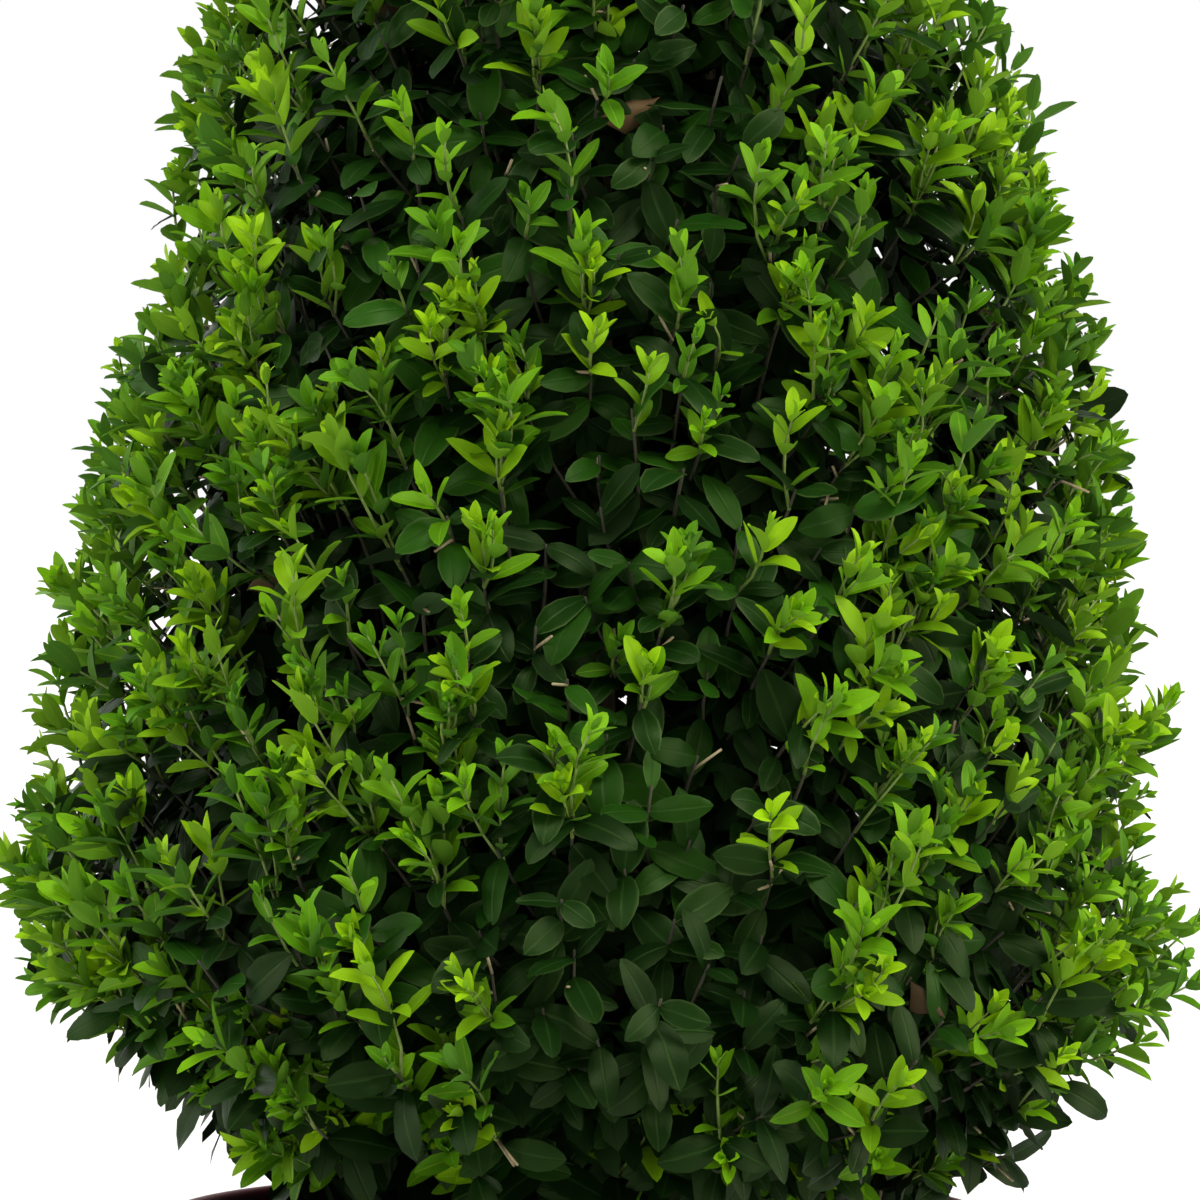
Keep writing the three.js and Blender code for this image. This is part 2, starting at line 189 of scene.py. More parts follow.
def gridFaces(rows, columns, closed):
    # two triangles to each cell of a grid, whose last column meets the first where it is closed
    across = columns if closed else columns - 1
    row, column = np.meshgrid(np.arange(rows - 1), np.arange(across), indexing="ij")
    a = row * columns + column
    b = row * columns + (column + 1) % columns
    cells = np.stack([a, b, b + columns, a, b + columns, a + columns], -1)
    return cells.reshape(-1, 3)


def fanFaces(centre, ring, flip):
    # triangles from one vertex to each step of a ring
    edge = np.stack([np.full(len(ring), centre), ring, np.roll(ring, -1)], -1)
    return edge[:, ::-1] if flip else edge


def tubeMesh(name, paths, radii, sides, relief=None):
    # ring j of a path: p_j + r_j (cos a n_j + sin a b_j), with n and b square to the path
    # and both ends closed by fans
    count, rings = paths.shape[:2]
    along = unit(np.gradient(paths, axis=1))
    middle = along[:, rings // 2]
    aside = unit(np.cross(middle, np.roll(middle, 1, -1) + (0.31, 0.17, 0.05)))
    normal = unit(np.cross(np.cross(along, aside[:, None]), along))
    other = np.cross(along, normal)
    angle = np.arange(sides) * turn / sides
    ring = np.cos(angle)[:, None] * normal[:, :, None] + np.sin(angle)[:, None] * other[:, :, None]
    reach = np.broadcast_to(radii[..., None], (count, rings, sides)).copy()
    if relief is not None:
        reach = reach + relief(paths, angle, radii)
    surface = paths[:, :, None] + ring * reach[..., None]
    each = rings * sides + 2
    points = np.concatenate([surface.reshape(count, -1, 3), paths[:, :1], paths[:, -1:]], 1)
    first = fanFaces(rings * sides, np.arange(sides), True)
    last = fanFaces(rings * sides + 1, np.arange(sides) + (rings - 1) * sides, False)
    faces = np.concatenate([gridFaces(rings, sides, True), first, last])
    triangles = (faces[None] + (np.arange(count) * each)[:, None, None]).reshape(-1, 3)
    return buildMesh(name, points.reshape(-1, 3), triangles)


def turnedMesh(name, profile, segments, lift=None):
    # profile (r, z) carried round the axis: (r cos a, r sin a, z); its two ends lie on the axis
    angle = np.arange(segments) * turn / segments
    body = profile[1:-1]
    surface = np.stack([
        body[:, :1] * np.cos(angle), body[:, :1] * np.sin(angle), np.repeat(body[:, 1:], segments, 1),
    ], -1)
    if lift is not None:
        surface = lift(surface)
    ends = np.array([[0, 0, profile[0, 1]], [0, 0, profile[-1, 1]]])
    points = np.concatenate([surface.reshape(-1, 3), ends])
    rows = len(body)
    first = fanFaces(rows * segments, np.arange(segments), True)
    last = fanFaces(rows * segments + 1, np.arange(segments) + (rows - 1) * segments, False)
    return buildMesh(name, points, np.concatenate([gridFaces(rows, segments, True), first, last]))


def bladeTemplate(across, rows):
    # a leaf's own grid: a base vertex, rows of u from -1 to 1 at each v, and a tip vertex
    u = np.tile(np.linspace(-1, 1, across + 1), len(rows))
    v = np.repeat(np.array(rows), across + 1)
    u = np.concatenate([[0], u, [0]])
    v = np.concatenate([[0], v, [1]])
    columns = across + 1
    step = np.arange(across)
    base = np.stack([np.zeros(across, int), 1 + step, 2 + step], -1)
    top = 1 + (len(rows) - 1) * columns
    tip = np.stack([np.full(across, top + columns), top + step + 1, top + step], -1)
    middle = gridFaces(len(rows), columns, False)[:, ::-1] + 1
    return u, v, np.concatenate([base, middle, tip])


def bladeOutline(v, rise, fall):
    # v^rise (1 - v)^fall over its own peak: half the leaf's width as a share of the widest
    peak = rise / (rise + fall)
    return v ** rise * (1 - v) ** fall / (peak ** rise * (1 - peak) ** fall)


rippleTurns = 9  # how fast a blade's rippled edge waves along it, in radians


def leafMesh(name, kind, leaves):
    # The midrib is an arc: x = L sin(b v) / b, z = -L (1 - cos(b v)) / b. Across it, y = u w(v), and the
    # blade folds up by |u| w tan(fold) and rolls under by u^2 w roll, turning by twist v about the midrib.
    u, v, faces = bladeTemplate(kind["across"], kind["rows"])
    length, bend = leaves["length"][:, None], leaves["bend"][:, None]
    bent = bend * v
    half = leaves["width"][:, None] / 2 * bladeOutline(v, *kind["outline"])
    y = u * half
    lift = np.abs(u) * half * np.tan(leaves["fold"])[:, None] - u ** 2 * half * kind["roll"]
    lift = lift + kind["ripple"] * length * np.sin(leaves["phase"][:, None] + rippleTurns * v) * u
    twist = leaves["twist"][:, None] * v
    y, lift = y * np.cos(twist) - lift * np.sin(twist), y * np.sin(twist) + lift * np.cos(twist)
    x = length * np.sin(bent) / bend + np.sin(bent) * lift
    z = -length * (1 - np.cos(bent)) / bend + np.cos(bent) * lift
    side = np.cross(leaves["normal"], leaves["heading"])
    points = (
        leaves["base"][:, None] + x[..., None] * leaves["heading"][:, None]
        + y[..., None] * side[:, None] + z[..., None] * leaves["normal"][:, None]
    )
    count, each = len(x), len(v)
    triangles = (faces[None] + (np.arange(count) * each)[:, None, None]).reshape(-1, 3)
    blade = np.stack([u * 0.5 + 0.5, v], -1)
    uv = np.tile(blade[faces.ravel()], (count, 1))
    return buildMesh(name, points.reshape(-1, 3), triangles, uv, np.repeat(leaves["tone"], each))


# ---- shader tools

def newTree(name):  # a material with an empty tree
    material = bpy.data.materials.new(name)
    material.use_nodes = True
    tree = material.node_tree
    tree.nodes.clear()
    return material, tree


def add(tree, kind, **values):
    # a node with its settings by name
    node = tree.nodes.new(kind)
    for key, value in values.items():
        setattr(node, key, value)
    return node


def feed(tree, node, **sources):
    # each input takes a socket or a value; its name has _ for a space, or n and its number
    for key, source in sources.items():
        index = int(key[1:]) if key[0] == "n" and key[1:].isdigit() else key.replace("_", " ")
        if isinstance(source, bpy.types.NodeSocket):
            tree.links.new(source, node.inputs[index])
        else:
            node.inputs[index].default_value = source
    return node


def maths(tree, operation, first, second=0.0):  # one sum on two sockets or values
    return feed(tree, add(tree, "ShaderNodeMath", operation=operation), n0=first, n1=second).outputs[0]


def blendColours(tree, share, first, second):  # first (1 - share) + second share
    node = add(tree, "ShaderNodeMix", data_type="RGBA")
    feed(tree, node, n0=share, n6=first, n7=second)
    return node.outputs[2]


def ramp(tree, source, low, high):  # 0 below low to 1 above high
    node = feed(tree, add(tree, "ShaderNodeMapRange", clamp=True), Value=source, From_Min=low, From_Max=high)
    return node.outputs[0]


def newGroup(name, inputs, outputs):
    # an empty group, with what it is given and what it puts out
    group = bpy.data.node_groups.new(name, "ShaderNodeTree")
    for label, kind, value in inputs:
        socket = group.interface.new_socket(label, in_out="INPUT", socket_type="NodeSocket" + kind)
        socket.default_value = value
    for label, kind in outputs:
        group.interface.new_socket(label, in_out="OUTPUT", socket_type="NodeSocket" + kind)
    return group, group.nodes.new("NodeGroupInput").outputs, group.nodes.new("NodeGroupOutput").inputs


def placeGroup(tree, group, **values):  # a group in a material, with that material's own values
    return feed(tree, add(tree, "ShaderNodeGroup", node_tree=group), **values).outputs


def veinGroup():
    # Midrib: |u| near 0. Side veins: a wave of v - slant |u|. Margin: |u| near 1. Each leaf has a tone
    # from 0, dark, to 1, light, and a pale margin where its tone is high.
    group, given, out = newGroup(
        "bladeVeins",
        [("Dark", "Color", (0.1, 0.3, 0.02, 1)), ("Light", "Color", (0.2, 0.4, 0.02, 1)),
         ("Rib", "Color", (0.3, 0.5, 0.1, 1)), ("Edge", "Color", (0.3, 0.5, 0.1, 1)),
         ("Rib Strength", "Float", 0.5), ("Edge Strength", "Float", 0.3)],
        [("Color", "Color"), ("Height", "Float")],
    )
    place = feed(group, add(group, "ShaderNodeSeparateXYZ"),
                 Vector=add(group, "ShaderNodeUVMap", uv_map="blade").outputs[0]).outputs
    tone = add(group, "ShaderNodeAttribute", attribute_name="tone").outputs["Fac"]
    across = maths(group, "ABSOLUTE", maths(group, "MULTIPLY", maths(group, "SUBTRACT", place[0], 0.5), 2.0))
    rib = maths(group, "SUBTRACT", 1.0, ramp(group, across, 0.03, 0.13))
    slanted = maths(group, "SUBTRACT", place[1], maths(group, "MULTIPLY", across, 0.28))
    veins = maths(group, "SINE", maths(group, "MULTIPLY", slanted, 62.0))
    edge = ramp(group, across, 0.8, 1.0)
    blotch = add(group, "ShaderNodeTexNoise")
    feed(group, blotch, Vector=add(group, "ShaderNodeTexCoord").outputs["Object"], Scale=90.0, Detail=2.0)
    mottled = maths(group, "MULTIPLY", maths(group, "SUBTRACT", blotch.outputs["Fac"], 0.5), 0.5)
    shade = blendColours(group, ramp(group, maths(group, "ADD", tone, mottled), 0.0, 1.0), given["Dark"],
                         given["Light"])
    ribbed = blendColours(group, maths(group, "MULTIPLY", rib, given["Rib Strength"]), shade, given["Rib"])
    pale = maths(group, "MULTIPLY", ramp(group, tone, 0.2, 0.9), given["Edge Strength"])
    edged = blendColours(group, maths(group, "MULTIPLY", edge, pale), ribbed, given["Edge"])
    group.links.new(edged, out["Color"])
    fine = maths(group, "MULTIPLY", veins, 0.035)
    group.links.new(maths(group, "SUBTRACT", fine, rib), out["Height"])
    return group


def grainGroup():
    # Broad patches and fine grain from two noises on Object coordinates, and their sum as a height.
    group, given, out = newGroup(
        "patchyGrain",
        [("Patch Scale", "Float", 8.0), ("Grain Scale", "Float", 200.0), ("Stretch", "Float", 1.0),
         ("Grain Share", "Float", 0.5)],
        [("Patches", "Float"), ("Grain", "Float"), ("Height", "Float")],
    )
    place = feed(group, add(group, "ShaderNodeVectorMath", operation="MULTIPLY"),
                 n0=add(group, "ShaderNodeTexCoord").outputs["Object"],
                 n1=feed(group, add(group, "ShaderNodeCombineXYZ"), X=1.0, Y=1.0,
                         Z=given["Stretch"]).outputs[0])
    large = feed(group, add(group, "ShaderNodeTexNoise"), Vector=place.outputs[0],
                 Scale=given["Patch Scale"], Detail=4.0, Roughness=0.6)
    small = feed(group, add(group, "ShaderNodeTexNoise"), Vector=place.outputs[0],
                 Scale=given["Grain Scale"], Detail=3.0, Roughness=0.65)
    broad = ramp(group, large.outputs["Fac"], 0.35, 0.68)
    fine = ramp(group, small.outputs["Fac"], 0.3, 0.7)
    group.links.new(broad, out["Patches"])
    group.links.new(fine, out["Grain"])
    mixed = maths(group, "ADD", broad, maths(group, "MULTIPLY", fine, given["Grain Share"]))
    group.links.new(mixed, out["Height"])
    return group


bladeVeins = veinGroup()
patchyGrain = grainGroup()


def leafMaterial(name, look):
    # waxy upper face, paler dull underside, and some light coming through the blade
    material, tree = newTree(name)
    veins = placeGroup(tree, bladeVeins, Dark=(*look["dark"], 1), Light=(*look["light"], 1),
                       Rib=(*look["rib"], 1), Edge=(*look["edge"], 1), Rib_Strength=look["ribStrength"],
                       Edge_Strength=look["edgeStrength"])
    back = add(tree, "ShaderNodeNewGeometry").outputs["Backfacing"]
    colour = blendColours(tree, maths(tree, "MULTIPLY", back, 0.75), veins["Color"], (*look["underside"], 1))
    bump = feed(tree, add(tree, "ShaderNodeBump"), Height=veins["Height"], Strength=0.35, Distance=0.0004)
    shader = add(tree, "ShaderNodeBsdfPrincipled")
    feed(tree, shader, Base_Color=colour, Normal=bump.outputs[0], Specular_IOR_Level=look["gloss"],
         Specular_Tint=(*look["tint"], 1),
         Roughness=maths(tree, "ADD", look["roughness"], maths(tree, "MULTIPLY", back, 0.25)))
    through = feed(tree, add(tree, "ShaderNodeBsdfTranslucent"), Color=colour)
    both = feed(tree, add(tree, "ShaderNodeMixShader"), Fac=look["glow"])
    tree.links.new(shader.outputs[0], both.inputs[1])
    tree.links.new(through.outputs[0], both.inputs[2])
    tree.links.new(both.outputs[0], add(tree, "ShaderNodeOutputMaterial").inputs[0])
    return material


def grainMaterial(name, dark, light, roughness, patchScale, grainScale, stretch, bumpHeight, grainShare=0.5,
                  gloss=0.5):
    # two colours mixed by patches and grain, with the grain's relief as a bump
    material, tree = newTree(name)
    grain = placeGroup(tree, patchyGrain, Patch_Scale=patchScale, Grain_Scale=grainScale, Stretch=stretch,
                       Grain_Share=grainShare)
    share = maths(tree, "MULTIPLY", maths(tree, "ADD", grain["Patches"], grain["Grain"]), 0.5)
    colour = blendColours(tree, share, (*dark, 1), (*light, 1))
    bump = feed(tree, add(tree, "ShaderNodeBump"), Height=grain["Height"], Strength=0.6, Distance=bumpHeight)
    shader = add(tree, "ShaderNodeBsdfPrincipled")
    feed(tree, shader, Base_Color=colour, Normal=bump.outputs[0], Specular_IOR_Level=gloss,
         Roughness=feed(tree, add(tree, "ShaderNodeMapRange"), Value=grain["Grain"],
                        To_Min=roughness - 0.06, To_Max=roughness + 0.08).outputs[0])
    tree.links.new(shader.outputs[0], add(tree, "ShaderNodeOutputMaterial").inputs[0])
    return material


def finish(piece, material, slot, *nodes):
    # gives a piece its material and puts it in the place of the solids it stands for
    piece.data.materials.clear()
    piece.data.materials.append(material)
    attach(piece, "root")
    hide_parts(*nodes)
    return piece


# ---- camera, floor and light

view = {
    "distance": 2.65,
    "height": 0.514,
    "aimX": 0.009,
    "aimZ": 0.465,
    "frameWidth": 0.432,  # what the frame spans at the plant
    "sensor": 36,
    "farthest": 200,
}
light = {
    # each lamp: where it shines from, its strength, how many degrees of sky it fills, and its colour
    "key": {"from": (0.25, -1.0, 1.45), "strength": 2.3, "size": 32, "colour": (1.0, 1.0, 1.0)},
    "right": {"from": (1.0, -0.25, 0.55), "strength": 2.9, "size": 55, "colour": (1.0, 0.95, 0.84)},
    "left": {"from": (-1.0, -0.25, 0.55), "strength": 2.3, "size": 55, "colour": (1.0, 1.0, 0.96)},
    "rear": {"from": (-0.5, 1.0, 0.45), "strength": 1.3, "size": 70, "colour": (1.0, 1.0, 1.0)},
    "sky": 0.22,  # what the plant gets from all round
    "backdrop": 1.0,  # how bright the room looks
}
floorShape = {"halfWidth": 60.0, "colour": (0.70, 0.70, 0.70), "roughness": 0.9}


def makeCamera():
    # its lens makes frameWidth fill the frame at the camera's distance
    camera = bpy.data.objects.new("camera", bpy.data.cameras.new("camera"))
    bpy.context.scene.collection.objects.link(camera)
    bpy.context.scene.camera = camera
    camera.location = (view["aimX"], -view["distance"], view["height"])
    aim = Vector((view["aimX"], 0, view["aimZ"]))
    camera.rotation_euler = (aim - camera.location).to_track_quat("-Z", "Y").to_euler()
    camera.data.sensor_width = view["sensor"]
    camera.data.lens = view["sensor"] * view["distance"] / view["frameWidth"]
    camera.data.clip_end = view["farthest"]


def makeStage():
    # the floor, the lamps, and a world that looks white but gives the plant less light
    size = floorShape["halfWidth"]
    corners = np.array([[-size, -size, 0], [size, -size, 0], [size, size, 0], [-size, size, 0]])
    floor = buildMesh("floor", corners, np.array([[0, 1, 2], [0, 2, 3]]))
    material, tree = newTree("paleFloor")
    shader = feed(tree, add(tree, "ShaderNodeBsdfPrincipled"), Base_Color=(*floorShape["colour"], 1),
                  Roughness=floorShape["roughness"])
    tree.links.new(shader.outputs[0], add(tree, "ShaderNodeOutputMaterial").inputs[0])
    floor.data.materials.append(material)
    for name in ("key", "right", "left", "rear"):
        lamp = bpy.data.objects.new(name, bpy.data.lights.new(name, "SUN"))
        bpy.context.scene.collection.objects.link(lamp)
        lamp.data.energy, lamp.data.color = light[name]["strength"], light[name]["colour"]
        lamp.data.angle = math.radians(light[name]["size"])
        lamp.rotation_euler = (-Vector(light[name]["from"])).to_track_quat("-Z", "Y").to_euler()
    world = bpy.data.worlds.new("studio")
    bpy.context.scene.world = world
    world.use_nodes = True
    tree = world.node_tree
    seen = add(tree, "ShaderNodeLightPath").outputs["Is Camera Ray"]
    sky = tree.nodes["Background"]
    sky.inputs["Color"].default_value = (1, 1, 1, 1)
    strength = feed(tree, add(tree, "ShaderNodeMapRange"), Value=seen, To_Min=light["sky"],
                    To_Max=light["backdrop"])
    tree.links.new(strength.outputs[0], sky.inputs["Strength"])
    bpy.context.scene.view_settings.view_transform = "Standard"


makeCamera()
makeStage()
print("camera, floor and light are set")

# ---- pot and compost

potShape = {
    "height": 0.245, "rim": 0.150, "collar": 0.145, "wall": 0.140, "foot": 0.108, "collarHeight": 0.030,
    "thickness": 0.0028, "floor": 0.004, "roll": 0.0045, "footRound": 0.0025, "segments": 180,
    "drainCount": 6, "drainRadius": 0.007, "drainCircle": 0.066,
    # the ribs of the base, as radius and height, from the axis out
    "base": [(0, 0.0022), (0.030, 0.0022), (0.033, 0.0), (0.088, 0.0), (0.090, 0.0012), (0.096, 0.0012),
             (0.098, 0.0)],
}
compostShape = {
    "top": 0.223, "flat": 0.028, "shoulder": 0.098, "mound": 0.005, "crumb": 0.0016, "gap": 0.0004,
    "segments": 260, "rings": 62, "coarse": 0.011, "fine": 0.0045,
}
collarFoot = potShape["height"] - potShape["collarHeight"]


def potRadius(height):
    # foot to wall in a straight line, and above the collar's foot from collar to rim
    wall = mix(potShape["foot"], potShape["wall"], height / collarFoot)
    share = (height - collarFoot) / potShape["collarHeight"]
    collar = mix(potShape["collar"], potShape["rim"] - potShape["roll"], share)
    return np.where(height < collarFoot, wall, collar)


def arc(centre, radius, start, end, steps):
    # centre + radius (cos a, sin a), with a from start to end in turns
    angle = np.linspace(start, end, steps) * turn
    return np.stack([centre[0] + radius * np.cos(angle), centre[1] + radius * np.sin(angle)], -1)


def potProfile():
    # up the outside with a rounded foot and a soft step to the collar, round the rolled rim, down the inside
    thick, roll = potShape["thickness"], potShape["roll"]
    bend = potShape["footRound"]
    foot = arc((potShape["foot"] - 0.0022, bend), bend, -0.25, 0, 6)
    wall = np.linspace(0.008, collarFoot - 0.004, 14)
    step = np.linspace(-0.5, 0.5, 9)
    shoulder = mix(potShape["wall"], potShape["collar"], 0.5 + 0.5 * np.sin(step * math.pi))
    collar = np.linspace(collarFoot + 0.005, potShape["height"] - 2.1 * roll, 6)
    outside = np.concatenate([
        foot, np.stack([potRadius(wall), wall], -1), np.stack([shoulder, collarFoot + step * 0.006], -1),
        np.stack([potRadius(collar), collar], -1),
    ])
    rim = arc((potShape["rim"] - roll, potShape["height"] - roll), roll, -0.22, 0.5, 14)
    inside = outside[outside[:, 1] > potShape["floor"] * 2][::-1] - (thick, 0)
    floor = np.array([[radius, potShape["floor"]] for radius in (potShape["foot"] - thick, 0.05, 0)])
    return np.concatenate([np.array(potShape["base"]), outside, rim, inside, floor])


def makePot(material):
    # the profile turned round the axis, less a ring of drain holes
    pot = turnedMesh("nurseryPot", potProfile(), potShape["segments"])
    around = np.arange(potShape["drainCount"]) * turn / potShape["drainCount"]
    centres = outward(around) * potShape["drainCircle"]
    paths = centres[:, None] + np.array([[0, 0, z] for z in (-0.01, 0.0, 0.01)])
    drill = tubeMesh("drill", paths, np.full((len(centres), 3), potShape["drainRadius"]), 32)
    cut = pot.modifiers.new("drains", "BOOLEAN")
    cut.operation, cut.solver, cut.object = "DIFFERENCE", "EXACT", drill
    bpy.context.view_layer.update()
    solid = bpy.data.meshes.new_from_object(pot.evaluated_get(bpy.context.evaluated_depsgraph_get()))
    pot.modifiers.clear()
    pot.data = solid
    bpy.data.objects.remove(drill)
    solid.set_sharp_from_angle(angle=math.radians(40))
    return finish(pot, material, "pot", "pot")


def makeCompost(material):
    # a domed bed whose top is z(r) plus two sizes of crumb; its sides follow the pot's inner wall
    shape = compostShape
    gap = potShape["thickness"] + shape["gap"]
    foot = potShape["floor"] + 0.0003
    levels = np.array([foot, collarFoot - 0.004, collarFoot + 0.004, shape["top"] - shape["mound"] - 0.001])
    side = np.stack([potRadius(levels) - gap, levels], -1)
    radii = np.linspace(side[-1, 0] - 0.001, 0.002, shape["rings"])
    falls = np.interp(radii, [0, shape["flat"], shape["shoulder"], 0.15], [0, 0, 0.002, shape["mound"]])
    bed = np.stack([radii, shape["top"] - 0.0008 - falls], -1)
    profile = np.concatenate([[[0, foot]], side, bed, [[0, shape["top"] - 0.0008]]])

    def crumble(surface):  # z + crumb * rough on the bed alone
        rough = waves(surface, shape["coarse"], 5, 12) * 0.6 + waves(surface, shape["fine"], 6, 14) * 0.4
        top = np.arange(len(surface)) >= len(side)
        surface[..., 2] += (rough * shape["crumb"] * top[:, None]).clip(-0.004, 0.0007)
        return surface

    bed = turnedMesh("compostBed", profile, shape["segments"], crumble)
    return finish(bed, material, "compost", "compost")


maroonPlastic = grainMaterial(
    "maroonPlastic", (0.135, 0.015, 0.023), (0.205, 0.028, 0.040), roughness=0.5, patchScale=14.0,
    grainScale=900.0, stretch=0.6, bumpHeight=0.00012, grainShare=0.4, gloss=0.12)
dampCompost = grainMaterial(
    "dampCompost", (0.010, 0.006, 0.004), (0.055, 0.036, 0.022), roughness=0.92, patchScale=60.0,
    grainScale=900.0, stretch=1.0, bumpHeight=0.0012, grainShare=1.0)
makePot(maroonPlastic)
makeCompost(dampCompost)
print("pot and compost are made")

# ---- stem, leader and boughs

wood = {
    "seat": 0.0003, "stemTop": 0.336, "stemBase": 0.014, "stemFork": 0.0105, "flare": 0.009,
    "flareHeight": 0.015,
    "boughRoot": 0.0052, "boughTip": 0.0036, "swing": 0.36, "stagger": 0.13,
    "leaderRoot": 0.0076, "leaderTip": 0.0042, "sway": 0.0025,
    "steps": 90, "stemSides": 56, "sides": 28, "relief": 0.07,  # of the bark, as a share of the radius
}


def barkRelief(depth, seed):
    # long cracks: ridges |sin| of a field that varies fast round the limb and slowly along it
    def relief(paths, angle, radii):  # depth * radius * (lumps / 4 - 1/2 + cracks up to 1.2)
        along = np.linalg.norm(paths - paths[:, :1], axis=-1)
        place = np.stack(np.broadcast_arrays(
            np.cos(angle) * 0.02, np.sin(angle) * 0.02, along[..., None] * 0.35,
        ), -1)
        cracks = np.abs(waves(place, 0.009, seed, 10))
        lumps = waves(place, 0.03, seed + 1, 6)
        return radii[..., None] * depth * (0.25 * lumps - 0.5 + np.minimum(cracks, 1.2))
    return relief


def limbPiece(name, path, widths, material, node, seed, sides=wood["sides"]):
    # one stem or bough with its bark, in the place of its solid
    piece = tubeMesh(name, path[None], widths[None], sides, barkRelief(wood["relief"], seed))
    return finish(piece, material, "bark", node)


def leaning(azimuth, lean):  # lean outwards to each 1 upwards, made unit
    return unit(outward(azimuth) * lean + upright)


def massFoot(tier, azimuth):  # where a mass's bough ends and its own limb begins
    return outward(azimuth) * tier["spread"] + (crown["axisX"], 0, crown["foot"] + tier["height"])


def makeWood(bark):
    # Bezier curves: the stem up to its fork, a bough from it to the foot of each mass, and the leader on top
    t = np.linspace(0, 1, wood["steps"])
    top, base = wood["stemTop"], compostShape["top"] + wood["seat"]
    shares = [mix(compostShape["top"], top, share) for share in (0.4, 0.6)]
    stem = evenly(bezier(*np.array([[0, 0, base], [0, 0, shares[0]], [crown["axisX"], 0, shares[1]],
                                    [crown["axisX"], 0, top]]), t), wood["steps"])
    flare = wood["flare"] * np.exp(-t * (top - base) / wood["flareHeight"])
    widths = mix(wood["stemBase"], wood["stemFork"], t) + flare
    limbPiece("stemBark", stem, widths, bark, "stem", 31, wood["stemSides"])
    for tier in tiers[:2]:
        for index in range(tier["masses"]):
            azimuth = tier["turn"] + index / tier["masses"] * turn
            fork = tier["fork"] + wood["stagger"] * (index % 2)
            start = np.array([np.interp(fork, t, stem[:, i]) for i in range(3)])
            foot = massFoot(tier, azimuth)
            swing = np.linalg.norm(foot - start) * wood["swing"]
            path = bezier(start, start + leaning(azimuth, tier["leaving"]) * swing,
                          foot - leaning(azimuth, tier["arriving"]) * swing, foot, t[::2])
            widths = mix(wood["boughRoot"], wood["boughTip"], t[::2])
            label = f"{tier['name']}_{index + 1}"
            limbPiece(f"boughBark_{label}", path, widths, bark, f"bough_{label}", 40 + index)
    low, high = top + wood["seat"], crown["foot"] + tiers[2]["height"]
    x, sway = crown["axisX"], wood["sway"]
    path = bezier(*np.array([[x, 0, low], [x, 0, mix(low, high, 0.3)],
                             [x + sway, -sway, mix(low, high, 0.6)], [x, 0, high]]), t)
    limbPiece("leaderBark", path, mix(wood["leaderRoot"], wood["leaderTip"], t), bark, "leader", 60)


greyBark = grainMaterial(
    "greyBark", (0.060, 0.043, 0.024), (0.25, 0.20, 0.125), roughness=0.85, patchScale=60.0,
    grainScale=420.0, stretch=0.25, bumpHeight=0.0008)
makeWood(greyBark)
print("stem, leader and boughs are made")

# ---- the skeleton of each mass: limb, branches and twigs

growth = {
    "branches": 130,
    "branchDepth": 0.085,
    "twigs": 1150,
    "twigRun": 0.078,  # how far a twig reaches back towards its branch
    "tipDepth": 0.028,  # how far under the outline the shears left its tip, and by how much that varies
    "tipRagged": 0.007,
    "footRagged": 1.6,  # how much more ragged the lowest tips are
    "swell": 0.004,  # broad unevenness of the outline
    "outLean": 0.85,  # a twig's heading is outwards and up in these shares, and wanders from that
    "upLean": 1.0,
    "wander": 0.26,
    # where the shears left more, or went deeper where it is negative: azimuth in turns, height above the
    # foot, by how much, and how far that reaches in turns and in height
    "cuts": [
        (0.50, 0.34, -0.003, 0.12, 0.09), (0.50, 0.0, -0.058, 0.13, 0.062),
        (0.51, 0.11, 0.010, 0.12, 0.035), (0.63, 0.02, 0.012, 0.05, 0.03),
        (0.00, -0.01, -0.012, 0.13, 0.05), (0.00, 0.31, 0.010, 0.13, 0.085),
        (0.50, 0.195, 0.006, 0.10, 0.022), (0.50, 0.135, -0.003, 0.10, 0.02),
        (0.00, 0.158, 0.008, 0.08, 0.018), (0.00, 0.105, -0.004, 0.10, 0.02),
        (0.00, 0.075, 0.005, 0.08, 0.015),
    ],
    "skirt": 56,  # low branches over the pot
    "skirtRadius": (0.02, 0.106),
    "skirtHeight": (0.012, 0.032),
    "leaveBelow": 0.035,  # how far under its tip a branch leaves its limb
    "leaveShare": (0.08, 0.97),  # the lowest and highest places on a limb that one may leave from
    "branchPoints": 12,
    "firstHold": 5,  # twigs grow from this point of a branch on
}


def patches(height, azimuth, places):
    # sum of amount * exp(-(da / spanA)^2 - (dh / spanH)^2) over the places
    total = np.zeros_like(height)
    for where, level, amount, wide, tall in places:
        aside = (azimuth / turn - where + 0.5) % 1 - 0.5
        total += amount * np.exp(-(aside / wide) ** 2 - ((height - level) / tall) ** 2)
    return total


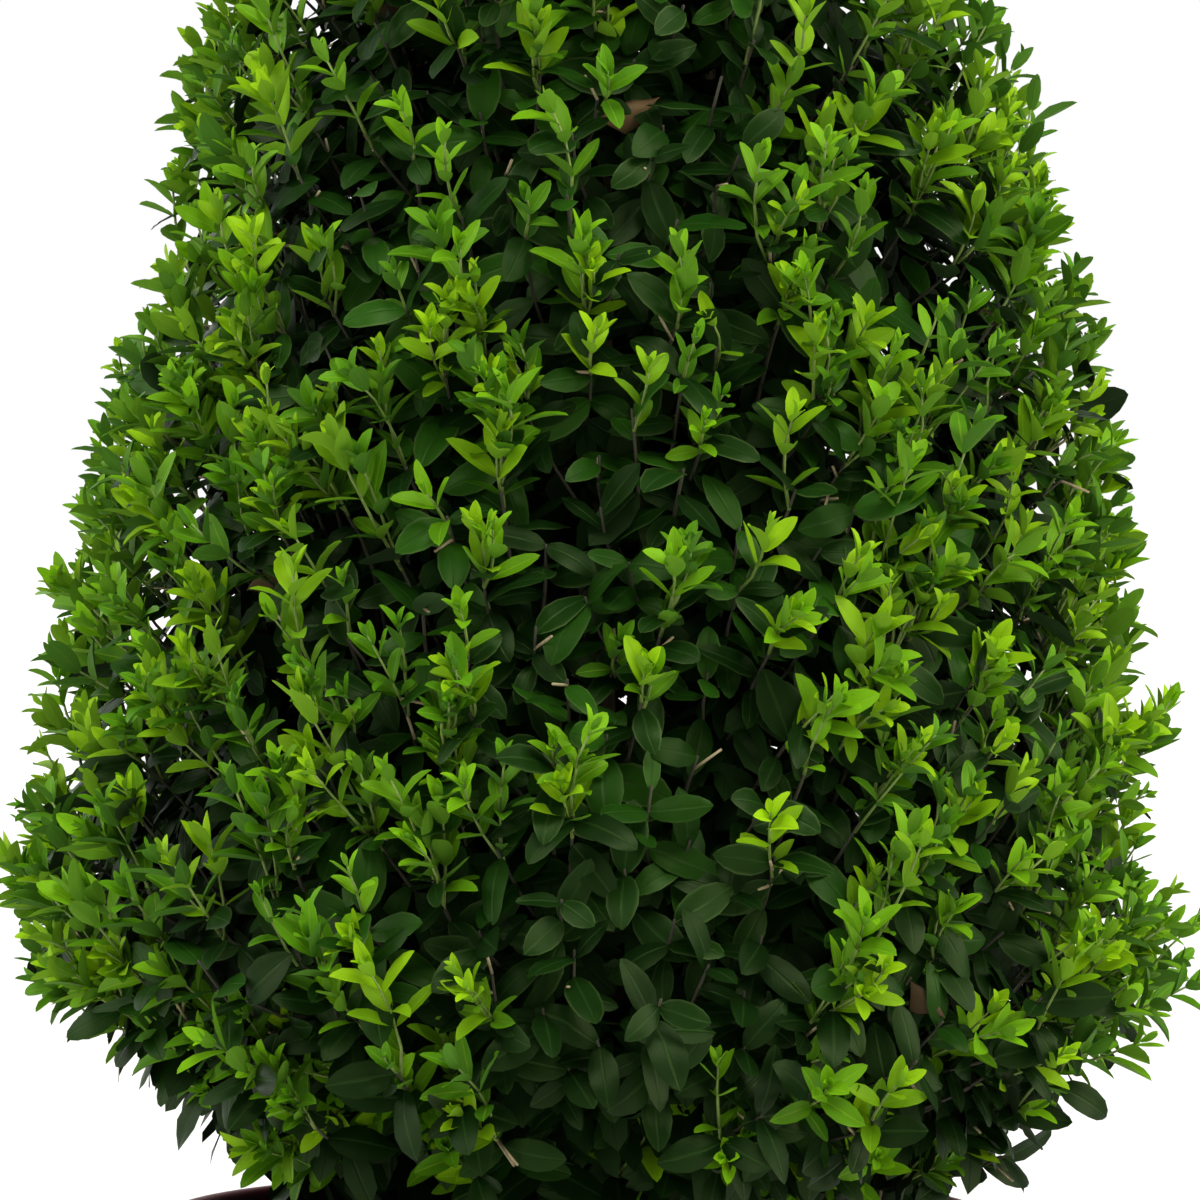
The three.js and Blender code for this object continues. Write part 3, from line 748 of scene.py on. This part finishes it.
def growSkeleton():
    # limbs rise in each mass, branches leave them for places under the outline, and twigs rise from those
    feet, headings, ends, owners = [], [], [], []
    for level, tier in enumerate(tiers):
        for index in range(tier["masses"]):
            azimuth = tier["turn"] + index / tier["masses"] * turn
            feet.append(massFoot(tier, azimuth))
            headings.append(leaning(azimuth, tier["arriving"]))
            radius, height = tier["limbEnd"]
            ends.append(outward(azimuth) * radius + (crown["axisX"], 0, crown["foot"] + height))
            owners.append(level)
    feet, headings, ends, owners = map(np.array, (feet, headings, ends, owners))
    reach = np.linalg.norm(ends - feet, axis=1)[:, None]
    limbCurve = (feet, feet + headings * reach * 0.4, ends - upright * reach * 0.4, ends)

    height, azimuth = crownPlaces(growth["branches"])
    depth = np.minimum(growth["branchDepth"], crownRadius(height) * 0.6)
    tips = insideCrown(height, azimuth, depth)
    number = growth["skirt"]
    around = np.arange(number) * goldenAngle
    inner, outer = growth["skirtRadius"]
    reach = np.sqrt(rng.uniform(inner ** 2, outer ** 2, (number, 1)))
    low = outward(around) * reach + (crown["axisX"], 0, crown["foot"])
    low[:, 2] += rng.uniform(*growth["skirtHeight"], number)
    tips, azimuth = np.concatenate([tips, low]), np.concatenate([azimuth, around])
    height = np.concatenate([height, np.zeros(number)])
    radius, level = onCrown(tips)
    value = level - borderRise * radius
    tierOf = sum((value > borderOnAxis(tier["border"])).astype(int) for tier in tiers[1:])
    first = np.cumsum([0] + [tier["masses"] for tier in tiers])
    masses = np.array([tier["masses"] for tier in tiers])[tierOf]
    turned = (azimuth - np.array([tier["turn"] for tier in tiers])[tierOf]) / turn * masses
    mass = first[tierOf] + np.round(turned).astype(int) % masses
    rise = (tips[:, 2] - feet[mass, 2] - growth["leaveBelow"]) / (ends[mass, 2] - feet[mass, 2])
    leave = np.clip(rise, *growth["leaveShare"])
    pick = [p[mass] for p in limbCurve]
    start = bezier(*pick, leave[:, None])[:, 0]
    climb = unit(bezier(*pick, leave[:, None] + 0.02)[:, 0] - start)
    out, upPart = crownNormal(height)
    normal = outward(azimuth) * out[:, None] + upright * upPart[:, None]
    arrive = unit(normal * growth["outLean"] + upright * growth["upLean"])
    span = np.linalg.norm(tips - start, axis=1)[:, None]
    curve = (start, start + unit(climb + unit(tips - start)) * span * 0.35, tips - arrive * span * 0.3, tips)
    return limbCurve, owners, curve, span[:, 0], normal, mass


def growTwigs(branch, mass):
    # a twig's tip stands under the outline by tipDepth plus its ragged and swelling share, less the cuts,
    # and it leaves the point of a branch that is nearest to tip - twigRun * heading
    height, azimuth = crownPlaces(growth["twigs"])
    surface = insideCrown(height, azimuth, np.zeros_like(height))
    out, upPart = crownNormal(height)
    lift = np.clip(1 + 0.9 * upPart, 0.1, 1)  # under the belly twigs lie flat and end nearer the outline
    ragged = growth["tipRagged"] * (1 + growth["footRagged"] * np.exp(-(height / 0.06) ** 2))
    depth = growth["tipDepth"] * mix(0.4, 1, lift) + spread(1, len(height)) * ragged
    depth = depth + growth["swell"] * waves(surface, 0.07, 3) - patches(height, azimuth, growth["cuts"])
    depth = np.minimum(depth, crownRadius(height) * 0.5 + 0.012)
    normal = outward(azimuth) * out[:, None] + upright * upPart[:, None]
    heading = unit(outward(azimuth) * growth["outLean"] + upright * growth["upLean"] * lift[:, None]
                   + spread(growth["wander"], len(height), 3))
    tips = insideCrown(height, azimuth, depth)
    wanted = tips - heading * growth["twigRun"]
    holds = branch[:, growth["firstHold"]:]
    gaps = np.linalg.norm(wanted[:, None] - holds.reshape(-1, 3)[None], axis=-1)
    nearest = gaps.argmin(1)
    root = holds.reshape(-1, 3)[nearest]
    owner = mass[nearest // holds.shape[1]]
    span = np.linalg.norm(tips - root, axis=1)[:, None]
    curve = (root, mix(root, tips, 0.35) + heading * span * 0.05, tips - heading * span * 0.42, tips)
    return curve, heading, normal, owner, span[:, 0], lift


limbCurve, limbTier, branchCurve, branchSpan, branchNormal, branchMass = growSkeleton()
branches = bezier(*branchCurve, np.linspace(0, 1, growth["branchPoints"]))
twigCurve, twigHeading, twigNormal, twigMass, twigSpan, twigLift = growTwigs(branches, branchMass)
twigTier = limbTier[twigMass]
branchTier = limbTier[branchMass]
foliageNodes = [
    [name for name in sorted(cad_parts) if name.startswith("foliage_" + tier["name"])] for tier in tiers
]
print("skeleton:", len(branches), "branches and", len(twigSpan), "twigs")

# ---- leaves on the twigs

oldLeaf = {
    "nodes": 10,
    "firstNode": 0.002,
    "spacing": 0.008,
    "outerNodes": 4,  # the pairs nearest the tip are drawn in full, the rest simply
    "length": (0.0155, 0.027),
    "width": (0.42, 0.53),
    "splay": (42, 75),
    "droop": 0.42,
    "facing": 0.35,  # how strongly blades turn to the light
    "roll": 0.55,
    "lost": (0.23, 0.16),
    "bend": (0.1, 1.0),
    "fold": (0.05, 0.4),
    # where more are lost: azimuth in turns, height, amount, and reach in turns and height
    "thin": [
        (0.50, 0.22, 0.42, 0.075, 0.09), (0.00, 0.10, 0.40, 0.075, 0.07), (0.00, 0.21, 0.30, 0.06, 0.06),
        (0.50, 0.10, 0.25, 0.07, 0.04), (0.00, 0.83, 0.60, 9.0, 0.035),
    ],
    "bare": [(0.670, 0.020, 0.90, 0.048, 0.036)],  # the same, where those further in go too
    "dry": 0.0012,
    "mid": 0.42,  # share of twigs with the lighter old leaves, less by footLess at the foot, over footHeight: painted shade under the crown's belly
    "footLess": 0.85,
    "footHeight": 0.11,
    "branchNodes": 20,
    "branchSpacing": 0.0075,
    "limbNodes": 46,
    "limbSpacing": 0.0085,
    "innerSize": 1.2,  # the leaves on branches and limbs are this many times as large
}
newShoot = {
    "chances": (0.26, 0.30, 0.28, 0.16),  # of none, one, two or three shoots on a twig's tip
    "crowded": (1.15, 1.5, 1.9),  # the vigour that a fourth, a fifth and a sixth shoot take
    "thicket": 0.32,  # how strongly shoots crowd in some places and fail in others
    # how much more or less of them: azimuth in turns, height, amount, and reach in turns and height
    "thickets": [
        (0.769, 0.395, -1.05, 0.06, 0.06), (0.657, 0.38, -0.30, 0.05, 0.05),
        (0.677, 0.272, -0.55, 0.05, 0.05), (0.807, 0.085, -0.60, 0.06, 0.045),
        (0.766, 0.068, -0.30, 0.05, 0.04), (0.658, 0.075, -0.30, 0.05, 0.04),
        (0.652, 0.014, 2.50, 0.06, 0.032), (0.580, 0.020, 0.60, 0.05, 0.03),
        (0.735, 0.230, -0.30, 0.04, 0.04), (0.51, 0.24, 0.20, 0.06, 0.05), (0.622, 0.24, 0.30, 0.05, 0.05),
        (0.633, 0.13, 0.15, 0.05, 0.04), (0.94, 0.24, 0.40, 0.06, 0.06), (0.811, 0.20, 0.50, 0.04, 0.05),
        (0.862, 0.24, -0.60, 0.04, 0.04), (0.620, 0.035, 0.30, 0.05, 0.03),
        (0.674, 0.185, 0.30, 0.04, 0.04), (0.716, 0.293, 0.65, 0.04, 0.04),
        (0.851, 0.400, 0.30, 0.05, 0.04), (0.714, 0.020, -0.90, 0.03, 0.03),
        (0.809, 0.130, -0.20, 0.04, 0.04), (0.917, 0.100, 0.45, 0.05, 0.06),
        (0.640, 0.350, -0.25, 0.05, 0.08), (0.710, 0.406, 0.55, 0.04, 0.04),
        (0.740, 0.345, -0.20, 0.06, 0.035), (0.600, 0.045, 0.15, 0.06, 0.03),
        (0.815, 0.293, 0.35, 0.04, 0.04), (0.683, 0.080, -0.25, 0.04, 0.03),
        (0.830, 0.020, 0.60, 0.05, 0.03), (0.669, 0.235, -0.35, 0.04, 0.03),
        (0.585, 0.245, 0.65, 0.05, 0.06), (0.723, 0.077, 0.40, 0.04, 0.03),
        (0.891, 0.293, 0.30, 0.04, 0.04),
    ],
    "length": (0.012, 0.052),
    "tipVigour": 0.6,  # more of them towards the crown's tip, from a share of its height over a rise
    "tipFrom": 0.8,
    "tipRise": 0.15,
    "poke": 0.006,  # how far a tip may stand past the outline
    "lean": 0.30,
    "blend": (0.8, 0.25, 0.12),  # what a shoot takes of its twig's heading, of upright and of outwards
    "setBack": 0.012,  # how far under the twig's tip it may start
    "leafReach": 0.013,  # how far its top leaves stand past its stem
    "bow": 0.12,
    "back": (0.0, 0.0032, 0.0088, 0.0165, 0.0255, 0.035),  # how far under the tip each pair stands
    "sizes": (0.42, 0.72, 0.95, 1.0, 0.95, 0.8),
    "splay": (12, 24, 36, 46, 54, 60),
    "tones": (1.0, 0.9, 0.68, 0.45, 0.28, 0.15),
    "leaf": (0.0125, 0.0205),
    "width": (0.34, 0.45),
    "bend": (-0.25, 0.75),
    "fold": (0.2, 0.6),
    "lost": 0.05,
}
stub = {"count": 420, "along": (0.82, 1.0), "reach": (0.005, 0.014)}
potClearance = {
    "rim": (0.132, 0.158),  # the radii that count as over the rim
    "overRim": 0.2485,
    "overCompost": 0.234,
    "innerOverRim": crown["foot"] + 0.018,  # for the leaves on branches and limbs
}
fullBlade = {"across": 4, "rows": (0.045, 0.17, 0.37, 0.60, 0.80, 0.94), "outline": (0.64, 0.70),
             "roll": 0.25, "ripple": 0.02}
dryBlade = {**fullBlade, "outline": (1.25, 1.5), "roll": 1.9, "ripple": 0.06}
plainBlade = {"across": 2, "rows": (0.15, 0.45, 0.80), "outline": (0.60, 0.55), "roll": 0.2, "ripple": 0.0}
youngBlade = {"across": 2, "rows": (0.09, 0.30, 0.55, 0.78, 0.93), "outline": (0.72, 0.72), "roll": 0.0,
              "ripple": 0.008}


def pairFrames(tangent, phase, splay):
    # heading = t cos s + q sin s, with q square to the twig at the given phase; the face turns to the tip
    side = unit(np.cross(tangent, np.array([0.13, 0.21, 0.97])))
    other = np.cross(tangent, side)
    q = np.cos(phase)[..., None] * side + np.sin(phase)[..., None] * other
    heading = tangent * np.cos(splay)[..., None] + q * np.sin(splay)[..., None]
    return heading, tangent * np.sin(splay)[..., None] - q * np.cos(splay)[..., None]


def settleBlades(heading, normal, outwards, droop, facing, roll):
    # blades sag by droop, turn their faces towards the light and roll a little about their own midribs
    heading = unit(heading - upright * droop)
    normal = normal + unit(outwards + upright) * facing
    normal = unit(normal - heading * (normal * heading).sum(-1, keepdims=True))
    rolled = spread(roll, *normal.shape[:-1])[..., None]
    return heading, normal * np.cos(rolled) + np.cross(heading, normal) * np.sin(rolled)


def leafSet(base, heading, normal, length, width, bend, fold, tone, **labels):
    # one row of every array for each leaf, and what is left to chance in its shape
    count = len(base)
    return {
        "base": base, "heading": heading, "normal": normal, "length": length, "width": length * width,
        "bend": np.where(np.abs(bend) < 0.05, 0.05, bend), "fold": fold, "twist": spread(0.35, count),
        "phase": rng.uniform(0, turn, count), "odd": rng.random(count), "tone": tone, **labels,
    }


def chosen(leaves, mask):  # the rows where mask is true
    return {key: value[mask] for key, value in leaves.items()}


def clearOfPot(leaves, overRim=potClearance["overRim"]):
    # keeps the blades whose middle and tip, on the midrib's arc, stand clear of the rim and the compost
    inner, outer = potClearance["rim"]
    clear = np.ones(len(leaves["length"]), bool)
    for share in (0.5, 1.0):
        bent = leaves["bend"] * share
        ahead = leaves["length"] * np.sin(bent) / leaves["bend"]
        below = leaves["length"] * (1 - np.cos(bent)) / leaves["bend"]
        place = leaves["base"] + leaves["heading"] * ahead[:, None] - leaves["normal"] * below[:, None]
        radius = np.hypot(place[:, 0], place[:, 1])
        lowest = np.where((radius > inner) & (radius < outer), overRim, potClearance["overCompost"])
        clear &= place[:, 2] > lowest
    return chosen(leaves, clear)


def bared(leaves):
    # keeps the leaves whose own random share is over the sum of the bare places at their foot
    base = leaves["base"]
    azimuth = np.arctan2(base[:, 1], base[:, 0] - crown["axisX"]) % turn
    return chosen(leaves, leaves["odd"] > patches(onCrown(base)[1], azimuth, oldLeaf["bare"]))


def footPaintedShade(base):
    # 1 - footLess exp(-(h / footHeight)^2): painted shade, the old leaves' colour made darker near the foot
    # where the crown shades them
    height = (base[:, 2] - crown["foot"]) / oldLeaf["footHeight"]
    return 1 - oldLeaf["footLess"] * np.exp(-height ** 2)


def growOldLeaves(curve, span, outwards, tier, nodes, spacing, outerNodes):
    # pairs at equal steps back from each tip, every pair a quarter turn from the last
    shape = oldLeaf
    count = len(span)
    back = shape["firstNode"] + spacing * (np.arange(nodes) + spread(0.2, count, nodes))
    share = 1 - back / span[:, None]
    place = bezier(*curve, share)
    tangent = unit(bezier(*curve, share + 0.01) - bezier(*curve, share - 0.01))
    phase = rng.uniform(0, turn, (count, 1)) + np.arange(nodes) * turn / 4 + spread(0.25, count, nodes)
    phase = np.stack([phase, phase + turn / 2], -1)
    opened = np.radians(mix(*shape["splay"], np.clip(np.arange(nodes) / 3, 0, 1)))
    tangent = np.repeat(tangent[:, :, None], 2, 2)
    heading, normal = pairFrames(tangent, phase, opened[:, None] + spread(0.25, count, nodes, 2))
    droop = rng.uniform(0, 2, (count, nodes, 2, 1)) * shape["droop"]
    outwards = np.broadcast_to(outwards[:, None, None], heading.shape)
    heading, normal = settleBlades(heading, normal, outwards, droop, shape["facing"], shape["roll"])
    outer = np.broadcast_to((np.arange(nodes) < outerNodes)[:, None], phase.shape)
    azimuth = np.arctan2(curve[3][:, 1], curve[3][:, 0] - crown["axisX"]) % turn
    thin = patches(onCrown(curve[3])[1], azimuth, shape["thin"])[:, None, None]
    kept = (share[..., None] > 0.06) & (rng.random(phase.shape) > np.where(outer, *shape["lost"]) + thin)
    number = int(kept.sum())
    spray = np.broadcast_to(rng.random((count, 1, 1)), phase.shape)
    tier = np.broadcast_to(tier[:, None, None], phase.shape)
    place = np.repeat(place[:, :, None], 2, 2)
    kinds = ("length", "width", "bend", "fold")
    length, width, bend, fold = (rng.uniform(*shape[kind], number) for kind in kinds)
    # painted shade: the tone is lowered near the foot
    tone = rng.random(number) * footPaintedShade(place[kept])
    return leafSet(place[kept], heading[kept], normal[kept], length, width, bend, fold, tone,
                   outer=outer[kept], spray=spray[kept], tier=tier[kept])


def growShoots():
    # new stems from the twigs' tips: none to six, as many as a twig's vigour passes limits, each as long as
    # the outline leaves room for
    shape = newShoot
    tips = twigCurve[3]
    vigour = waves(tips, 0.085, 8) * shape["thicket"] + rng.random(len(tips)) - 0.35 * (1 - twigLift)
    azimuth = np.arctan2(tips[:, 1], tips[:, 0] - crown["axisX"]) % turn
    vigour = vigour + patches(onCrown(tips)[1], azimuth, shape["thickets"])
    towardsTip = (onCrown(tips)[1] / crown["height"] - shape["tipFrom"]) / shape["tipRise"]
    vigour = vigour + shape["tipVigour"] * np.clip(towardsTip, 0, 1)
    limits = np.concatenate([np.cumsum(shape["chances"])[:3], shape["crowded"]])
    number = (vigour[:, None] > limits).sum(1)
    twig = np.repeat(np.arange(len(tips)), number)
    lean = spread(shape["lean"], len(twig), 3)
    along, upwards, outwards = shape["blend"]
    heading = unit(twigHeading[twig] * along + upright * upwards + twigNormal[twig] * outwards + lean)
    climb = np.maximum((heading * twigNormal[twig]).sum(1), 0.3)
    radius, level = onCrown(tips[twig])
    out, _ = crownNormal(np.clip(level, 0.0, crown["height"]))
    azimuth = azimuth[twig]
    depth = np.maximum((crownRadius(level) - radius) * out + patches(level, azimuth, growth["cuts"]), 0.01)
    back = rng.uniform(0, shape["setBack"], len(twig))
    room = (depth + spread(shape["poke"], len(twig))) / climb - shape["leafReach"] + back
    shortest, longest = shape["length"]
    length = np.clip(np.minimum(room, rng.uniform(shortest, longest, len(twig)) + 0.008), shortest, longest)
    start = tips[twig] - twigHeading[twig] * back[:, None]
    bow = spread(shape["bow"], len(twig), 3) * length[:, None]
    run = heading * length[:, None]
    return (start, start + run * 0.33 + bow, start + run * 0.67 + bow, start + run), length, twig


def growStubs():
    # bare pale ends left by the shears, standing off the twigs near their tips
    count = stub["count"]
    twig = rng.integers(0, len(twigSpan), count)
    start = bezier(*(p[twig] for p in twigCurve), rng.uniform(*stub["along"], (count, 1)))[:, 0]
    heading = unit(twigHeading[twig] * 0.4 + twigNormal[twig] * 0.4 + spread(0.9, count, 3))
    run = heading * rng.uniform(*stub["reach"], (count, 1))
    return (start, start + run * 0.3, start + run * 0.7, start + run), twigTier[twig]


def growNewLeaves(curve, length, twig):
    # pairs at growing steps back from each shoot's tip, as many as its stem has room for, smaller and
    # more upright the nearer they are to it
    shape = newShoot
    count, nodes = len(length), len(shape["back"])
    share = 1 - np.array(shape["back"]) * rng.uniform(0.85, 1.2, (count, nodes)) / length[:, None]
    place = bezier(*curve, share)
    tangent = unit(bezier(*curve, share + 0.02) - bezier(*curve, share - 0.03))
    phase = rng.uniform(0, turn, (count, 1)) + np.arange(nodes) * turn / 4 + spread(0.3, count, nodes)
    phase = np.stack([phase, phase + turn / 2], -1)
    splay = np.radians(np.array(shape["splay"]))[:, None] + spread(0.2, count, nodes, 2)
    heading, normal = pairFrames(np.repeat(tangent[:, :, None], 2, 2), phase, splay)
    outwards = np.broadcast_to(twigNormal[twig][:, None, None], heading.shape)
    heading, normal = settleBlades(heading, normal, outwards, 0.0, 0.1, 0.3)
    size = rng.uniform(*shape["leaf"], (count, 1)) * np.array(shape["sizes"])
    size = np.repeat((size * rng.uniform(0.9, 1.1, (count, nodes)))[..., None], 2, 2)
    tone = np.array(shape["tones"])[:, None] + spread(0.2, count, 1, 1) + spread(0.12, *phase.shape)
    spray = np.broadcast_to(rng.random((count, 1, 1)), phase.shape)
    tier = np.broadcast_to(twigTier[twig][:, None, None], phase.shape)
    kept = (share[..., None] > 0.04) & (rng.random(phase.shape) > shape["lost"])
    number = int(kept.sum())
    place = np.repeat(place[:, :, None], 2, 2)
    width, bend, fold = (rng.uniform(*shape[key], number) for key in ("width", "bend", "fold"))
    return leafSet(place[kept], heading[kept], normal[kept], size[kept], width, bend, fold, tone[kept],
                   spray=spray[kept], tier=tier[kept])


oldLeaves = growOldLeaves(twigCurve, twigSpan, twigNormal, twigTier, oldLeaf["nodes"], oldLeaf["spacing"],
                          oldLeaf["outerNodes"])
oldLeaves = bared(clearOfPot(oldLeaves))
shootCurve, shootLength, shootTwig = growShoots()
newLeaves = clearOfPot(growNewLeaves(shootCurve, shootLength, shootTwig))
stubCurve, stubTier = growStubs()
shootTier = twigTier[shootTwig]
innerLeaves = growOldLeaves(branchCurve, branchSpan, branchNormal, branchTier, oldLeaf["branchNodes"],
                            oldLeaf["branchSpacing"], 0)
limbSpan = np.linalg.norm(limbCurve[3] - limbCurve[0], axis=1)
limbLeaves = growOldLeaves(limbCurve, limbSpan, unit(limbCurve[3] - limbCurve[0]), limbTier,
                           oldLeaf["limbNodes"], oldLeaf["limbSpacing"], 0)
innerLeaves = {key: np.concatenate([innerLeaves[key], limbLeaves[key]]) for key in innerLeaves}
for key in ("length", "width"):
    innerLeaves[key] = innerLeaves[key] * oldLeaf["innerSize"]
innerLeaves = bared(clearOfPot(innerLeaves, potClearance["innerOverRim"]))
print("leaves:", len(oldLeaves["tone"]), "old,", len(innerLeaves["tone"]), "further in, and",
      len(newLeaves["tone"]), "new, on", len(shootLength), "shoots")

# ---- foliage pieces, each kind and tint apart

youngLook = {
    "rib": (0.24, 0.42, 0.02), "edge": (0.22, 0.38, 0.02), "underside": (0.14, 0.29, 0.02),
    "ribStrength": 0.35, "edgeStrength": 0.25, "roughness": 0.46, "gloss": 0.22, "tint": (0.82, 1.0, 0.35),
    "glow": 0.22,
}
matureLook = {
    "rib": (0.020, 0.055, 0.009), "edge": (0.075, 0.125, 0.035), "underside": (0.042, 0.080, 0.030),
    "ribStrength": 0.35, "edgeStrength": 0.55, "roughness": 0.42, "gloss": 0.15, "tint": (0.72, 1.0, 0.42),
    "glow": 0.05,
}
leafLooks = {
    "limeShoots": {**youngLook, "dark": (0.050, 0.165, 0.004), "light": (0.300, 0.540, 0.006)},
    "freshShoots": {**youngLook, "dark": (0.032, 0.120, 0.003), "light": (0.185, 0.430, 0.006),
                    "underside": (0.10, 0.23, 0.02)},
    "greenShoots": {**youngLook, "dark": (0.018, 0.075, 0.003), "light": (0.090, 0.265, 0.005),
                    "underside": (0.06, 0.16, 0.02), "glow": 0.16},
    "midLeaves": {**matureLook, "dark": (0.0042, 0.021, 0.0016), "light": (0.0155, 0.068, 0.0030)},
    "deepLeaves": {**matureLook, "dark": (0.0028, 0.0125, 0.0016), "light": (0.0064, 0.028, 0.0024),
                   "underside": (0.030, 0.054, 0.022), "glow": 0.03},
    "dryLeaves": {**matureLook, "dark": (0.045, 0.028, 0.012), "light": (0.15, 0.095, 0.04),
                  "rib": (0.15, 0.10, 0.045), "edge": (0.05, 0.03, 0.013), "underside": (0.13, 0.09, 0.04),
                  "roughness": 0.6, "tint": (1, 1, 1)},
    # painted shade: the leaves further in get darker colours than the outer ones, for the crown's shaded
    # inside
    "paintedShadeLeaves": {**matureLook, "dark": (0.0034, 0.013, 0.0023), "light": (0.0066, 0.025, 0.0036),
                    "rib": (0.006, 0.014, 0.003), "underside": (0.012, 0.022, 0.008), "edgeStrength": 0.1,
                    "roughness": 0.5, "gloss": 0.15, "glow": 0.02},
}
leafFinish = {name: leafMaterial(name, look) for name, look in leafLooks.items()}
leafFinish["deepShadeLeaves"] = leafFinish["paintedShadeLeaves"]
greenStem = grainMaterial(
    "greenStem", (0.08, 0.15, 0.02), (0.22, 0.30, 0.06), roughness=0.55, patchScale=200.0,
    grainScale=900.0, stretch=0.5, bumpHeight=0.0002)
clippedWood = grainMaterial(
    "clippedWood", (0.15, 0.115, 0.055), (0.46, 0.38, 0.21), roughness=0.75, patchScale=150.0,
    grainScale=900.0, stretch=0.5, bumpHeight=0.0002)
brownTwig = grainMaterial(
    "brownTwig", (0.014, 0.014, 0.006), (0.042, 0.038, 0.017), roughness=0.8, patchScale=120.0,
    grainScale=800.0, stretch=0.4, bumpHeight=0.0003)
spraysOf = {"lime": (0, 0.34), "fresh": (0.34, 0.72), "green": (0.72, 1)}  # shares of the shoots
tubes = {
    # what they follow, each one's tier, their finish, the radius at foot and tip, sides, and rings
    "limbs": (limbCurve, limbTier, greyBark, (wood["boughTip"], 0.0022), 8, 16),
    "branches": (branchCurve, branchTier, brownTwig, (0.0024, 0.0013), 6, 12),
    "twigs": (twigCurve, twigTier, brownTwig, (0.0010, 0.00055), 4, 7),
    "shootStems": (shootCurve, shootTier, greenStem, (0.0007, 0.0004), 4, 4),
    "stubs": (stubCurve, stubTier, clippedWood, (0.0006, 0.0005), 5, 3),
}


def makeTubes(name, level):
    # the curves of one tier as tubes that thin evenly from the first radius to the second
    curve, tier, material, radii, sides, rings = tubes[name]
    paths = bezier(*(p[tier == level] for p in curve), np.linspace(0, 1, rings))
    widths = np.broadcast_to(mix(*radii, np.linspace(0, 1, rings)), paths.shape[:2])
    piece = tubeMesh(f"{name}_{tiers[level]['name']}", paths, widths, sides)
    return finish(piece, material, "bark", *foliageNodes[level])


def dealtOut():
    # the leaves of each kind: young by their shoot's share, outer old ones dry, mid or deep, and inner ones
    kinds = {}
    for name, (low, high) in spraysOf.items():
        inSpray = (newLeaves["spray"] >= low) & (newLeaves["spray"] < high)
        kinds[f"{name}Shoots"] = chosen(newLeaves, inSpray), youngBlade
    outer, dry = oldLeaves["outer"], oldLeaves["odd"] < oldLeaf["dry"]
    # painted shade: fewer of the lighter old leaves near the foot
    mid = oldLeaves["spray"] < oldLeaf["mid"] * footPaintedShade(oldLeaves["base"])
    kinds["dryLeaves"] = chosen(oldLeaves, outer & dry), dryBlade
    kinds["midLeaves"] = chosen(oldLeaves, outer & ~dry & mid), fullBlade
    kinds["deepLeaves"] = chosen(oldLeaves, outer & ~dry & ~mid), fullBlade
    # painted shade: the old leaves further back on twigs, branches and limbs take the darker colours
    kinds["paintedShadeLeaves"] = chosen(oldLeaves, ~outer), plainBlade
    kinds["deepShadeLeaves"] = innerLeaves, plainBlade
    return kinds


def makeFoliage():
    # wood and leaves of each tier, which stand in the place of that tier's masses
    sprays = dealtOut()
    total, largest = 0, 0
    for level, tier in enumerate(tiers):
        for name in tubes:
            makeTubes(name, level)
        for name, (leaves, blade) in sprays.items():
            piece = leafMesh(f"{name}_{tier['name']}", blade, chosen(leaves, leaves["tier"] == level))
            finish(piece, leafFinish[name], "leaf", *foliageNodes[level])
            total += len(piece.data.polygons)
            largest = max(largest, len(piece.data.polygons))
    print("foliage:", total, "leaf faces, at most", largest, "in a piece")


makeFoliage()
